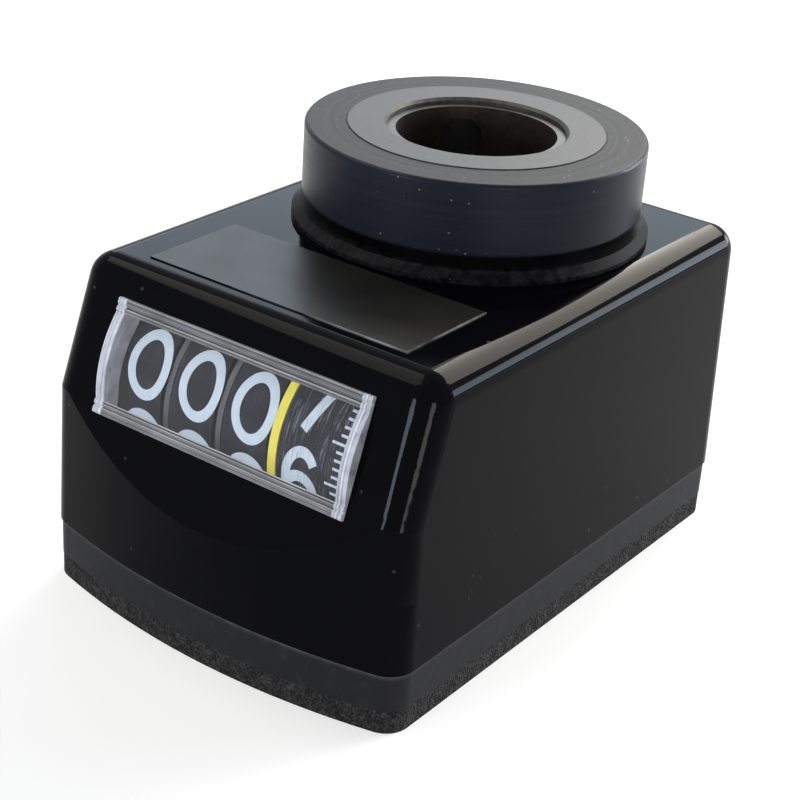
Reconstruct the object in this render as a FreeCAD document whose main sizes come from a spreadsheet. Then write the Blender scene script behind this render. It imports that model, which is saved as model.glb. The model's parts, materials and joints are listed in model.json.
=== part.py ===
import FreeCAD, Part
import math
import os
import Sketcher
from FreeCAD import Placement, Rotation, Vector

# Hollow-shaft position indicator: a glossy case with a slanted window over four number drums,
# a steel hub on top and a gear train inside. Origin: middle of the mounting face, front toward -Y.

os.makedirs("parts", exist_ok=True)
doc = FreeCAD.newDocument("PositionIndicator")
sheet = doc.addObject("Spreadsheet::Sheet", "Sizes")

driving = {
    # case: its width, depth and height follow from what it holds and these gaps and walls
    "sideGap": 1.2,
    "frontSag": 3.3,
    "sideDraft": 0.57,
    "rimHeight": 4.35,
    "wall": 1.6,
    "edgeRadius": 3.1,
    "slopeAngle": 70.8,
    "slopeSetback": 7.75,
    "collarReach": 1.05,
    "collarToBack": 2.4,
    "collarHeight": 1.5,
    "collarBevel": 0.85,
    "neckDepth": 6.4,
    "neckWall": 2.4,
    "plateExtra": 0.3,
    "plateDepth": 13.4,
    "plateGap": 0.65,
    "plateThickness": 0.45,
    "plateRecess": 0.3,
    # window, measured along the slope from its upper edge
    "windowSide": 1.1,
    "windowStart": 3.25,
    "lensRim": 1.55,
    "lensRimRise": 0.45,
    "lensCrown": 0.85,
    "lensDepth": 1.2,
    "lensHollow": 0.7,
    "lensLip": 1.0,
    "lensLipThickness": 0.5,
    "lensFit": 0.03,
    "lensEndGap": 0.15,
    # base, gasket and the screws that close the case
    "baseInset": 0.2,
    "foamThickness": 2.6,
    "foamInset": 0.25,
    "foamShaftGap": 0.8,
    "floorThickness": 1.6,
    "lipHeight": 1.7,
    "lipThickness": 1.2,
    "lipFit": 0.05,
    "baseBossWall": 1.5,
    "baseBossHeight": 2.3,
    "coverPostInset": 4.1,
    "coverPostRadius": 2.6,
    "coverPostHeight": 4.8,
    "coverScrewRadius": 1.1,
    "coverHeadRadius": 2.0,
    "coverHeadHeight": 1.3,
    "coverHeadDepth": 1.4,
    "driverSlotWidth": 0.5,
    "driverSlotDepth": 0.6,
    "screwFit": 0.05,
    "pinHoleRadius": 3.0,
    "pinHoleDepth": 5.0,
    "pinHoleWall": 1.5,
    "pinHoleFloor": 0.9,
    "pinDistance": 30.0,
    "foamPinGap": 0.5,
    # hollow shaft, hub and bushes
    "boreRadius": 10.0,
    "shaftWall": 1.8,
    "shaftLift": 0.4,
    "headStep": 2.55,
    "headGap": 0.35,
    "hubHeight": 8.17,
    "hubWall": 4.75,
    "hubStep": 0.1,
    "hubEdge": 0.45,
    "mouthEdge": 0.32,
    "sleeveWall": 1.0,
    "sleeveSunk": 0.7,
    "setScrewRadius": 2.5,
    "setScrewRise": 3.57,
    "setScrewTipSunk": 0.4,
    "setScrewHeadSunk": 1.0,
    "setScrewTurn": 225.0,
    "socketRadius": 1.25,
    "socketDepth": 2.2,
    "runningFit": 0.05,
    "bushWall": 1.9,
    "bushFlange": 1.6,
    "bushFlangeThickness": 0.95,
    "lowerBushFlange": 0.8,
    "lowerBushFlangeThickness": 0.5,
    "sealSection": 0.8,
    "sealFit": 0.05,
    "sealLip": 0.3,
    "sealSeat": 1.9,
    "ringThickness": 0.8,
    "ringGap": 0.1,
    "ringDepth": 0.5,
    "ringWidth": 1.7,
    "ringOpening": 3.0,
    # number drums, the plates between them and the axle
    "drumRadius": 12.2,
    "drumSunk": 1.7,
    "topGap": 0.3,
    "drumCentreShare": 0.543,
    "drumWidth": 5.9,
    "drumGap": 0.275,
    "drumWeb": 0.9,
    "drumRim": 1.1,
    "drumHubGap": 0.35,
    "carrierThickness": 0.7,
    "markerThickness": 1.0,
    "carrierInset": 0.25,
    "fineDrumWidth": 8.9,
    "fineDrumRim": 1.1,
    "axleRadius": 1.5,
    "rodRadius": 0.8,
    "rodGap": 2.4,
    "rodAngle": 19.5,
    "rodEyeWall": 0.9,
    "transferAngle": -20.0,
    "transferTeeth": 6,
    "drumTeeth": 20,
    "transferTailStep": 0.25,
    "transferTailLength": 1.7,
    "gearFace": 1.9,
    # brackets that stand on the floor
    "bracketThickness": 1.5,
    "bracketFront": 2.5,
    "bracketTopGap": 0.8,
    "bracketBack": 4.0,
    "bracketShoulder": 6.0,
    "footWidth": 4.5,
    "footThickness": 1.6,
    "bracketScrewRadius": 0.9,
    "bracketHeadRadius": 1.6,
    "bracketHeadHeight": 0.8,
    # drive gear on the shaft, cross shaft and spur gears
    "helixAngle": 45.0,
    "driveRingWall": 0.816,
    "driveToDrum": 1.0,
    "pinionToDrum": 0.25,
    "driveTeeth": 24,
    "crossTeeth": 6,
    "driveFace": 6.0,
    "crossFace": 7.6,
    "crossHeight": 6.25,
    "crossRadius": 1.5,
    "crossGearTeeth": 19,
    "inputGearTeeth": 38,
    "spurFace": 2.4,
    "inputGap": 0.4,
    "clipThickness": 0.5,
    "clipWidth": 1.1,
    "clipGap": 0.2,
    "clipDepth": 0.3,
    "clipOpening": 1.6,
    "shaftEnd": 0.6,
    "overrun": 1.0,
}

for row, (alias, amount) in enumerate(driving.items(), start=1):
    sheet.set("A%d" % row, alias)
    sheet.set("B%d" % row, str(amount))
    sheet.setAlias("B%d" % row, alias)
doc.recompute()


class Size:
    """A number and the expression on the sheet that it comes from."""

    def __init__(self, text, value):
        self.text = text
        self.value = value

    def joined(self, sign, other, value):
        return Size("(%s %s %s)" % (self.text, sign, other.text), value)

    def __add__(self, other):
        other = asSize(other)
        return self.joined("+", other, self.value + other.value)

    def __radd__(self, other):
        return asSize(other) + self

    def __sub__(self, other):
        other = asSize(other)
        return self.joined("-", other, self.value - other.value)

    def __rsub__(self, other):
        return asSize(other) - self

    def __mul__(self, other):
        other = asSize(other)
        return self.joined("*", other, self.value * other.value)

    def __rmul__(self, other):
        return asSize(other) * self

    def __truediv__(self, other):
        other = asSize(other)
        return self.joined("/", other, self.value / other.value)

    def __rtruediv__(self, other):
        return asSize(other) / self

    def __neg__(self):
        return Size("(0 - %s)" % self.text, -self.value)


def asSize(number):
    return number if isinstance(number, Size) else Size("(%r)" % number, float(number))


def root(size):
    return Size("sqrt(%s)" % size.text, math.sqrt(size.value))


def sine(angle):
    return Size("sin(%s)" % angle.text, math.sin(math.radians(angle.value)))


def cosine(angle):
    return Size("cos(%s)" % angle.text, math.cos(math.radians(angle.value)))


class Cells:
    """Reads a cell of the sheet by its alias, as a Size."""

    def __getattr__(self, alias):
        return Size("Sizes." + alias, float(getattr(sheet, alias)))


cell = Cells()
zero = asSize(0)
touching = 1e-4  # how near to a plane or a radius an edge has to lie to count as on it


def otherLeg(hypotenuse, leg):
    return root(hypotenuse * hypotenuse - leg * leg)


# turned pieces on the shaft, from the bore outwards
tubeRadius = cell.boreRadius + cell.shaftWall
headRadius = tubeRadius + cell.headStep
hubRadius = headRadius + cell.hubWall
collarRadius = hubRadius + cell.collarReach
bushBore = tubeRadius + cell.runningFit
bushRadius = tubeRadius + cell.bushWall

# the drive gear is a ring on the tube, and its pitch circle touches the cross pinion's
addendumShare = 1.0
dedendumShare = 1.2
transverseShare = 1 / cosine(cell.helixAngle)
driveModule = (tubeRadius + cell.driveRingWall) / (transverseShare * cell.driveTeeth / 2 - dedendumShare)
driveRadius = driveModule * transverseShare * cell.driveTeeth / 2
crossPitch = driveModule * transverseShare * cell.crossTeeth / 2
driveTip = driveRadius + driveModule * addendumShare
crossTip = crossPitch + driveModule * addendumShare

# the drums clear the drive gear and the cross pinion
drumToCross = cell.drumRadius + crossTip + cell.pinionToDrum
spurY = cell.drumRadius + driveTip + cell.driveToDrum - driveRadius - crossPitch
spurZ = otherLeg(drumToCross, spurY)
spurModule = drumToCross * 2 / (cell.crossGearTeeth + cell.inputGearTeeth)

# the drums lie under the top and the slope, and the window over them is longer than it is from
# its upper edge to the drums' middle
slopeSine = sine(cell.slopeAngle)
slopeCosine = cosine(cell.slopeAngle)
drumDepth = cell.drumRadius + cell.drumSunk
topToDrum = cell.drumRadius + cell.topGap + cell.wall
drumFoot = (topToDrum - drumDepth * slopeCosine) / slopeSine
frontToDrum = cell.slopeSetback - drumFoot * slopeCosine + drumDepth * slopeSine
windowLength = (drumFoot - cell.windowStart) / cell.drumCentreShare

# places along the drum axle, from the left
trainWidth = (3 * cell.drumWidth + 8 * cell.drumGap + 2 * cell.carrierThickness
              + cell.markerThickness + cell.fineDrumWidth)
halfTrain = trainWidth / 2
drumStep = cell.drumWidth + 2 * cell.drumGap + cell.carrierThickness
drumLeft = [cell.drumGap - halfTrain + count * drumStep for count in range(3)]
carrierLeft = [left + cell.drumWidth + cell.drumGap for left in drumLeft]
fineLeft = carrierLeft[2] + cell.markerThickness + cell.drumGap
fineRight = fineLeft + cell.fineDrumWidth
inputLeft = halfTrain + cell.bracketThickness + cell.inputGap
inputRight = inputLeft + cell.spurFace
clipLeft = -halfTrain - cell.bracketThickness - cell.clipGap - cell.clipThickness
clipRight = inputRight + cell.clipGap
axleLeft = clipLeft - cell.shaftEnd
axleRight = clipRight + cell.clipThickness + cell.shaftEnd

# the case goes round all of this
halfWidth = axleRight + cell.sideGap + cell.wall
caseDepth = frontToDrum + spurY + driveRadius + crossPitch + collarRadius + cell.collarToBack
backY = caseDepth / 2
frontY = -backY
shaftY = backY - collarRadius - cell.collarToBack
crossY = shaftY - driveRadius - crossPitch
drumY = crossY - spurY
slopeTopY = frontY + cell.slopeSetback
windowWidth = trainWidth + 2 * cell.windowSide
plateWidth = windowWidth + cell.plateExtra
floorTop = cell.foamThickness + cell.floorThickness
partingHeight = cell.foamThickness + cell.rimHeight
crossZ = floorTop + cell.crossHeight
drumZ = crossZ + spurZ
caseTop = drumZ + topToDrum
innerTop = caseTop - cell.wall
collarTop = caseTop + cell.collarHeight
neckBottom = caseTop - cell.neckDepth
headUnderside = collarTop + cell.bushFlangeThickness + cell.headGap
hubTop = headUnderside + cell.hubHeight
setScrewHeight = headUnderside + cell.setScrewRise

# teeth inside a drum's rim and the pinion that runs in them
ringDepthShare = 1.1
pinionTipShare = 0.8
drumInside = cell.drumRadius - cell.drumRim
transferModule = drumInside / (cell.drumTeeth / 2 + ringDepthShare)
transferPitch = transferModule * cell.transferTeeth / 2
transferRadius = transferModule * cell.drumTeeth / 2 - transferPitch
transferY = transferRadius * cosine(cell.transferAngle)
transferZ = transferRadius * sine(cell.transferAngle)
drumHubRadius = transferRadius - transferPitch - transferModule * pinionTipShare - cell.drumHubGap
rodDistance = cell.drumRadius + cell.rodGap
rodY = drumY + rodDistance * cosine(cell.rodAngle)
rodZ = drumZ + rodDistance * sine(cell.rodAngle)

subParts = []


def bind(thing, prop, size):
    thing.setExpression(prop, asSize(size).text)


def newBody(label, x=zero, y=zero, z=zero, axis=Vector(1, 0, 0), angle=None):
    body = doc.addObject("PartDesign::Body", label)
    body.AllowCompound = True
    for prop, size in (("x", x), ("y", y), ("z", z)):
        bind(body, "Placement.Base." + prop, size)
    if angle is not None:
        body.Placement = Placement(Vector(), Rotation(axis, angle.value))
        bind(body, "Placement.Rotation.Angle", angle)
    subParts.append(body)
    return body


def originPlane(body, role):
    return [plane for plane in body.Origin.OriginFeatures if plane.Role == role][0]


def newSketch(body, name, role, offset=None):
    sketch = body.newObject("Sketcher::SketchObject", name)
    sketch.AttachmentSupport = (originPlane(body, role), [""])
    sketch.MapMode = "FlatFace"
    if offset is not None:
        bind(sketch, "AttachmentOffset.Base.z", offset)
    return sketch


def pin(sketch, line, end, u, v):
    """Fixes one end of a line, or a circle's middle, at a bound place."""
    for kind, size in (("DistanceX", asSize(u)), ("DistanceY", asSize(v))):
        index = sketch.addConstraint(Sketcher.Constraint(kind, -1, 1, line, end, size.value))
        bind(sketch, "Constraints[%d]" % index, size)


def outline(sketch, corners):
    """Draws a closed outline. A corner's third value is the bulge of the arc to the next corner,
    to the left of the way there."""
    first = sketch.GeometryCount
    count = len(corners)
    arcs = []
    for index, corner in enumerate(corners):
        u1, v1 = asSize(corner[0]), asSize(corner[1])
        u2, v2 = asSize(corners[(index + 1) % count][0]), asSize(corners[(index + 1) % count][1])
        start = Vector(u1.value, v1.value, 0)
        end = Vector(u2.value, v2.value, 0)
        if not corner[2:]:
            sketch.addGeometry(Part.LineSegment(start, end))
            continue
        bulge = asSize(corner[2])
        along = (end - start).normalize()
        middle = (start + end) / 2 + Vector(-along.y, along.x, 0) * bulge.value
        flipped = bulge.value > 0
        sketch.addGeometry(Part.Arc(end, middle, start) if flipped else Part.Arc(start, middle, end))
        chord = (u2 - u1) * (u2 - u1) + (v2 - v1) * (v2 - v1)
        arcs.append((index, flipped, (chord / 4 + bulge * bulge) / 2, bulge))
    reverse = {index: flipped for index, flipped, top, bulge in arcs}
    starts = [2 if reverse.get(index) else 1 for index in range(count)]
    ends = [1 if start == 2 else 2 for start in starts]
    for index in range(count):
        after = (index + 1) % count
        sketch.addConstraint(Sketcher.Constraint("Coincident", first + index, ends[index],
                                                 first + after, starts[after]))
    for index, corner in enumerate(corners):
        pin(sketch, first + index, starts[index], corner[0], corner[1])
    for index, flipped, top, bulge in arcs:
        size = top / (bulge if bulge.value > 0 else -bulge)
        place = sketch.addConstraint(Sketcher.Constraint("Radius", first + index, size.value))
        bind(sketch, "Constraints[%d]" % place, size)
    return sketch


def circle(sketch, u, v, radius):
    u, v, radius = asSize(u), asSize(v), asSize(radius)
    line = sketch.addGeometry(Part.Circle(Vector(u.value, v.value, 0), Vector(0, 0, 1), radius.value))
    index = sketch.addConstraint(Sketcher.Constraint("Radius", line, radius.value))
    bind(sketch, "Constraints[%d]" % index, radius)
    pin(sketch, line, 3, u, v)
    return sketch


def rectangle(sketch, u1, v1, u2, v2):
    return outline(sketch, [(u1, v1), (u2, v1), (u2, v2), (u1, v2)])


def polygon(sketch, points):
    """Draws a closed outline through plain points, for teeth."""
    count = len(points)
    ends = [Vector(u, v, 0) for u, v in points]
    sketch.addGeometry([Part.LineSegment(ends[i], ends[(i + 1) % count]) for i in range(count)])
    return sketch


def pad(body, sketch, length, flip=False, midplane=False):
    feature = body.newObject("PartDesign::Pad", "Pad")
    feature.Profile = sketch
    feature.Midplane = midplane
    feature.Reversed = flip
    bind(feature, "Length", length)
    doc.recompute()
    return feature


def pocket(body, sketch, length=None, flip=False):
    """Cuts a sketch to a depth, or right through both ways, and makes sure that it cut."""
    before = body.Shape.Volume
    feature = body.newObject("PartDesign::Pocket", "Pocket")
    feature.Profile = sketch
    if length is None:
        feature.Type = "ThroughAll"
        feature.Midplane = True
    else:
        feature.Reversed = flip
        bind(feature, "Length", length)
    doc.recompute()
    if not body.Shape.Volume < before:
        raise RuntimeError("%s: a pocket cut nothing" % body.Label)
    return feature


def revolve(body, sketch, axis="V_Axis", cut=False):
    before = body.Shape.Volume if cut else None
    feature = body.newObject("PartDesign::Groove" if cut else "PartDesign::Revolution", "Revolve")
    feature.Profile = sketch
    feature.ReferenceAxis = (sketch, [axis])
    feature.Angle = 360
    doc.recompute()
    if cut and not body.Shape.Volume < before:
        raise RuntimeError("%s: a groove cut nothing" % body.Label)
    return feature


def roundEdges(body, feature, radius, test, kind="Fillet"):
    names = ["Edge%d" % (index + 1) for index, edge in enumerate(feature.Shape.Edges) if test(edge)]
    if not names:
        raise RuntimeError("%s: no edge to round" % body.Label)
    edging = body.newObject("PartDesign::" + kind, kind)
    edging.Base = (feature, names)
    bind(edging, "Radius" if kind == "Fillet" else "Size", radius)
    doc.recompute()
    return edging


uprightShare = 0.1


def isUpright(edge):
    points = [vertex.Point for vertex in edge.Vertexes]
    if len(points) != 2:
        return False
    way = points[1] - points[0]
    return math.hypot(way.x, way.y) < uprightShare * abs(way.z)


# Teeth

normalPressure = math.radians(20.0)
helicalToothShare = 0.43
spurToothShare = 0.46
spurFootShare = 1.25


def involute(angle):
    return math.tan(angle) - angle


def toothPoints(teeth, pitch, tip, foot, widthShare, pressure, phase=0.0):
    """Outline of a toothed wheel. A tooth stands at the phase angle, and widthShare is the part
    of the pitch that a tooth takes on the pitch circle."""
    base = pitch * math.cos(pressure)
    half = math.pi * widthShare / teeth

    def spread(radius):
        local = math.acos(min(1.0, base / radius))
        return half + involute(pressure) - involute(local)

    low = max(foot, base)
    middle = (low + tip) / 2
    points = []
    for count in range(teeth):
        centre = phase + 2 * math.pi * count / teeth
        right = [(foot, -spread(low)), (middle, -spread(middle)), (tip, -spread(tip))]
        left = [(radius, -turn) for radius, turn in reversed(right)]
        for radius, turn in right + left:
            points.append((radius * math.cos(centre + turn), radius * math.sin(centre + turn)))
    return points


def twistedGear(label, points, face, turn, spans, bore, place, rotation):
    """A helical wheel about +Z: flat facets between turned copies of its outline."""
    count = len(points)
    rings = []
    for step in range(spans + 1):
        share = step / spans
        angle = turn * (share - 0.5)
        rings.append([Vector(u * math.cos(angle) - v * math.sin(angle),
                             u * math.sin(angle) + v * math.cos(angle),
                             face.value * (share - 0.5)) for u, v in points])
    faces = [Part.Face(Part.makePolygon(ring + ring[:1])) for ring in (rings[0], rings[-1])]
    for lower, upper in zip(rings, rings[1:]):
        for index in range(count):
            after = (index + 1) % count
            for corners in ((lower[index], lower[after], upper[after]),
                            (lower[index], upper[after], upper[index])):
                faces.append(Part.Face(Part.makePolygon(list(corners) + [corners[0]])))
    shell = Part.makeShell(faces)
    shell.sewShape()
    solid = Part.makeSolid(shell)
    if solid.Volume < 0:
        solid.reverse()
    hole = Part.makeCylinder(bore.value, 2 * face.value, Vector(0, 0, -face.value))
    gear = doc.addObject("Part::Feature", label)
    gear.Shape = solid.cut(hole)
    gear.Placement = Placement(Vector(*[size.value for size in place]), rotation)
    subParts.append(gear)
    return gear


# Case

frontRadius = (halfWidth * halfWidth / cell.frontSag + cell.frontSag) / 2


def footprint(sketch, inset):
    """The case's outline from above, set in evenly: straight sides and back, bulging front."""
    half = halfWidth - inset
    sideY = frontY + frontRadius - otherLeg(frontRadius - inset, half)
    sag = sideY - (frontY + inset)
    return outline(sketch, [(half, sideY), (half, backY - inset), (inset - halfWidth, backY - inset),
                            (inset - halfWidth, sideY, -sag)])


def footprintPad(body, name, bottom, top, inset):
    """A block on the footprint with rounded upright corners."""
    sketch = footprint(newSketch(body, name, "XY_Plane", bottom), inset)
    return pad(body, sketch, top - bottom)


def slopeSketch(body, name, lift):
    """A sketch on the slope: across is +X, down the slope is -Y, its zero at the slope's top."""
    sketch = newSketch(body, name, "XZ_Plane")
    sketch.AttachmentOffset = Placement(Vector(), Rotation(Vector(-1, 0, 0), 90 - cell.slopeAngle.value))
    bind(sketch, "AttachmentOffset.Base.y", caseTop + lift * slopeCosine)
    bind(sketch, "AttachmentOffset.Base.z", lift * slopeSine - slopeTopY)
    bind(sketch, "AttachmentOffset.Rotation.Angle", 90 - cell.slopeAngle)
    return sketch


def coverPosts():
    x = halfWidth - cell.coverPostInset
    back = backY - cell.coverPostInset
    front = frontY + frontRadius - otherLeg(frontRadius, x) + cell.coverPostInset
    return [(x, back), (-x, back), (x, front), (-x, front)]


def draftAt(height):
    """How far the drafted sides of the case lean in at a height."""
    return cell.sideDraft * (height - partingHeight) / (caseTop - partingHeight)


def slopedBlock(body, bottom, top, inset, radius):
    """A block on the footprint with drafted sides, cut by the slope set in by inset, with its
    edges rounded."""
    block = body.newObject("PartDesign::AdditiveLoft", "Loft")
    block.Profile = footprint(newSketch(body, "Foot", "XY_Plane", bottom), inset + draftAt(bottom))
    block.Sections = [footprint(newSketch(body, "Top", "XY_Plane", top), inset + draftAt(top))]
    block.Ruled = True
    doc.recompute()
    over = cell.overrun
    rise = top - (caseTop - inset * slopeCosine)
    topY = slopeTopY + inset * slopeSine + rise * slopeCosine / slopeSine
    reach = topY - frontY + over
    side = newSketch(body, "Slope", "YZ_Plane")
    outline(side, [(topY + over * slopeCosine, top + over * slopeSine),
                   (frontY - over, top - reach * slopeSine / slopeCosine),
                   (frontY - over, top + over * slopeSine)])
    slope = pocket(body, side)
    angle = math.radians(cell.slopeAngle.value)
    normal = Vector(0, -math.sin(angle), math.cos(angle))
    start = Vector(0, topY.value, top.value)

    def isRim(edge):
        points = [vertex.Point for vertex in edge.Vertexes]
        onTop = all(abs(point.z - top.value) < touching for point in points)
        onSlope = all(abs((point - start).dot(normal)) < touching for point in points)
        sideways = abs(edge.CenterOfMass.x) > halfWidth.value / 2
        return onTop or isUpright(edge) or (onSlope and sideways)

    return roundEdges(body, slope, radius, isRim)


def makeCase():
    body = newBody("case")
    slopedBlock(body, partingHeight, caseTop, zero, cell.edgeRadius)
    cavity = doc.addObject("PartDesign::Body", "CaseCavity")
    slopedBlock(cavity, partingHeight - cell.overrun, innerTop, cell.wall, cell.edgeRadius - cell.wall)
    hollow = body.newObject("PartDesign::Boolean", "Hollow")
    hollow.setObjects([cavity])
    hollow.Type = "Cut"
    doc.recompute()

    neck = newSketch(body, "Neck", "XZ_Plane", -shaftY)
    outline(neck, [(bushRadius, neckBottom), (bushRadius + cell.neckWall, neckBottom),
                   (bushRadius + cell.neckWall, caseTop - cell.wall / 2),
                   (collarRadius, caseTop - cell.wall / 2),
                   (collarRadius, collarTop - cell.collarBevel),
                   (collarRadius - cell.collarBevel, collarTop),
                   (bushRadius, collarTop)])
    revolve(body, neck)
    pocket(body, circle(newSketch(body, "NeckBore", "XY_Plane"), zero, shaftY, bushRadius))

    opening = slopeSketch(body, "WindowOpening", zero)
    windowEnd = cell.windowStart + windowLength
    rectangle(opening, -windowWidth / 2, -windowEnd, windowWidth / 2, -cell.windowStart)
    pocket(body, opening, 2 * cell.wall)

    plateBack = shaftY - collarRadius - cell.plateGap
    recess = newSketch(body, "PlateRecess", "XY_Plane", caseTop)
    rectangle(recess, -plateWidth / 2, plateBack - cell.plateDepth, plateWidth / 2, plateBack)
    pocket(body, recess, cell.plateRecess)

    posts = newSketch(body, "Posts", "XY_Plane", partingHeight)
    for x, y in coverPosts():
        circle(posts, x, y, cell.coverPostRadius)
    pad(body, posts, cell.coverPostHeight)
    holes = newSketch(body, "PostHoles", "XY_Plane", partingHeight)
    for x, y in coverPosts():
        circle(holes, x, y, cell.coverScrewRadius)
    pocket(body, holes, cell.coverPostHeight - cell.wall / 2, flip=True)
    return body


def makeLens():
    """Clear window with a thicker rim above and below, a crowned front, lips inside the wall and
    an end wall on each side that reaches in beside the drums."""
    body = newBody("window_lens", zero, slopeTopY, caseTop, angle=cell.slopeAngle)
    first = -cell.windowStart - cell.lensFit
    last = -cell.windowStart - windowLength + cell.lensFit
    inner = first - cell.lensRim
    lower = last + cell.lensRim
    lipOut = cell.wall + cell.lensFit
    lipIn = lipOut + cell.lensLipThickness
    side = newSketch(body, "Profile", "YZ_Plane")
    outline(side, [(first, cell.lensRimRise), (inner, cell.lensRimRise, -cell.lensCrown),
                   (lower, cell.lensRimRise), (last, cell.lensRimRise), (last, -lipOut),
                   (last - cell.lensLip, -lipOut), (last - cell.lensLip, -lipIn), (lower, -lipIn),
                   (lower, -cell.lensDepth, cell.lensHollow), (inner, -cell.lensDepth), (inner, -lipIn),
                   (first + cell.lensLip, -lipIn), (first + cell.lensLip, -lipOut), (first, -lipOut)])
    pad(body, side, windowWidth - 2 * cell.lensFit, midplane=True)

    outer = windowWidth / 2 - cell.lensFit
    wallIn = halfTrain - cell.drumGap + cell.lensEndGap
    depth = cell.bracketFront - cell.lensEndGap
    ends = newSketch(body, "EndWalls", "XY_Plane", -depth)
    rectangle(ends, -outer, last, -wallIn, first)
    rectangle(ends, wallIn, last, outer, first)
    pad(body, ends, depth)
    return body


def makeLabelPlate():
    body = newBody("label_plate")
    back = shaftY - collarRadius - cell.plateGap - cell.lensFit
    front = shaftY - collarRadius - cell.plateGap - cell.plateDepth + cell.lensFit
    half = plateWidth / 2 - cell.lensFit
    sketch = newSketch(body, "Plate", "XY_Plane", caseTop - cell.plateRecess)
    rectangle(sketch, -half, front, half, back)
    pad(body, sketch, cell.plateThickness)
    return body


# Base, gasket and cover screws

def makeBase():
    body = newBody("base_cover")
    bottom = cell.foamThickness
    block = footprintPad(body, "Footprint", bottom, partingHeight, cell.baseInset)
    roundEdges(body, block, cell.edgeRadius - cell.baseInset, isUpright)
    lipTop = partingHeight + cell.lipHeight
    lipOut = cell.wall + draftAt(lipTop) + cell.lipFit
    lip = footprintPad(body, "Lip", partingHeight, lipTop, lipOut)

    def isLipCorner(edge):
        return isUpright(edge) and edge.CenterOfMass.z > partingHeight.value

    roundEdges(body, lip, cell.edgeRadius - lipOut, isLipCorner)
    inside = footprint(newSketch(body, "Inside", "XY_Plane", floorTop), lipOut + cell.lipThickness)
    pocket(body, inside, lipTop - floorTop, flip=True)

    pillars = newSketch(body, "Pillars", "XY_Plane", bottom)
    notches = newSketch(body, "Notches", "XY_Plane", partingHeight)
    shanks = newSketch(body, "Shanks", "XY_Plane")
    heads = newSketch(body, "Heads", "XY_Plane", bottom)
    for x, y in coverPosts():
        circle(pillars, x, y, cell.coverPostRadius)
        circle(notches, x, y, cell.coverPostRadius + cell.lipFit)
        circle(shanks, x, y, cell.coverScrewRadius + cell.screwFit)
        circle(heads, x, y, cell.coverHeadRadius + cell.screwFit)
    pad(body, pillars, partingHeight - bottom)
    pocket(body, notches, cell.lipHeight + cell.overrun, flip=True)

    boss = circle(newSketch(body, "ShaftBoss", "XY_Plane", bottom), zero, shaftY,
                  bushRadius + cell.baseBossWall)
    pad(body, boss, cell.floorThickness + cell.baseBossHeight)
    pocket(body, circle(newSketch(body, "BushBore", "XY_Plane"), zero, shaftY, bushRadius))
    socket = circle(newSketch(body, "PinBoss", "XY_Plane", bottom), zero, shaftY - cell.pinDistance,
                    cell.pinHoleRadius + cell.pinHoleWall)
    pad(body, socket, cell.pinHoleDepth + cell.pinHoleFloor)
    hole = circle(newSketch(body, "PinHole", "XY_Plane", bottom), zero, shaftY - cell.pinDistance,
                  cell.pinHoleRadius)
    pocket(body, hole, cell.pinHoleDepth, flip=True)
    pocket(body, shanks)
    pocket(body, heads, cell.coverHeadDepth, flip=True)

    footHoles = newSketch(body, "FootHoles", "XY_Plane")
    footHeads = newSketch(body, "FootHeads", "XY_Plane", bottom)
    for x, y in footScrews():
        circle(footHoles, x, y, cell.bracketScrewRadius + cell.screwFit)
        circle(footHeads, x, y, cell.bracketHeadRadius + cell.screwFit)
    pocket(body, footHoles)
    pocket(body, footHeads, cell.bracketHeadHeight + cell.screwFit, flip=True)
    return body


def makeFoam():
    body = newBody("foam_gasket")
    block = footprintPad(body, "Footprint", zero, cell.foamThickness, cell.foamInset)
    roundEdges(body, block, cell.edgeRadius - cell.foamInset, isUpright)
    holes = circle(newSketch(body, "Holes", "XY_Plane"), zero, shaftY, tubeRadius + cell.foamShaftGap)
    circle(holes, zero, shaftY - cell.pinDistance, cell.pinHoleRadius + cell.foamPinGap)
    pocket(body, holes)
    return body


slotShare = 0.7


def makeScrews(label, places, bottom, shankRadius, shankLength, headRadius, headHeight):
    """Screws driven up from below, with a driver slot in each head."""
    body = newBody(label)
    shanks = newSketch(body, "Shanks", "XY_Plane", bottom)
    heads = newSketch(body, "Heads", "XY_Plane", bottom)
    slots = newSketch(body, "Slots", "XY_Plane", bottom)
    half = cell.driverSlotWidth / 2
    reach = headRadius * slotShare
    for x, y in places:
        circle(shanks, x, y, shankRadius)
        circle(heads, x, y, headRadius)
        rectangle(slots, x - reach, y - half, x + reach, y + half)
    pad(body, heads, headHeight)
    pad(body, shanks, shankLength)
    pocket(body, slots, cell.driverSlotDepth, flip=True)
    return body


# Hollow shaft, hub and bushes. They are turned together, so that the set screw points aside.

def shaftBody(label, turned=True):
    if turned:
        return newBody(label, y=shaftY, axis=Vector(0, 0, 1), angle=cell.setScrewTurn)
    return newBody(label, y=shaftY)


def screwHole(body, radius):
    sketch = circle(newSketch(body, "SetScrewHole", "XZ_Plane"), zero, setScrewHeight, radius)
    return pocket(body, sketch, hubRadius + cell.overrun, flip=True)


def makeHollowShaft():
    body = shaftBody("hollow_shaft")
    bore, mouth = cell.boreRadius, cell.mouthEdge
    groove = tubeRadius - cell.ringDepth
    ringTop = neckBottom - cell.ringGap
    ringBottom = ringTop - cell.ringThickness
    outline(newSketch(body, "Profile", "XZ_Plane"),
            [(bore, cell.shaftLift), (tubeRadius, cell.shaftLift), (tubeRadius, ringBottom),
             (groove, ringBottom), (groove, ringTop), (tubeRadius, ringTop),
             (tubeRadius, headUnderside), (headRadius, headUnderside),
             (headRadius, hubTop), (bore + mouth, hubTop),
             (bore, hubTop - mouth)])
    revolve(body, body.Group[-1])
    screwHole(body, cell.setScrewRadius)
    return body


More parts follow.
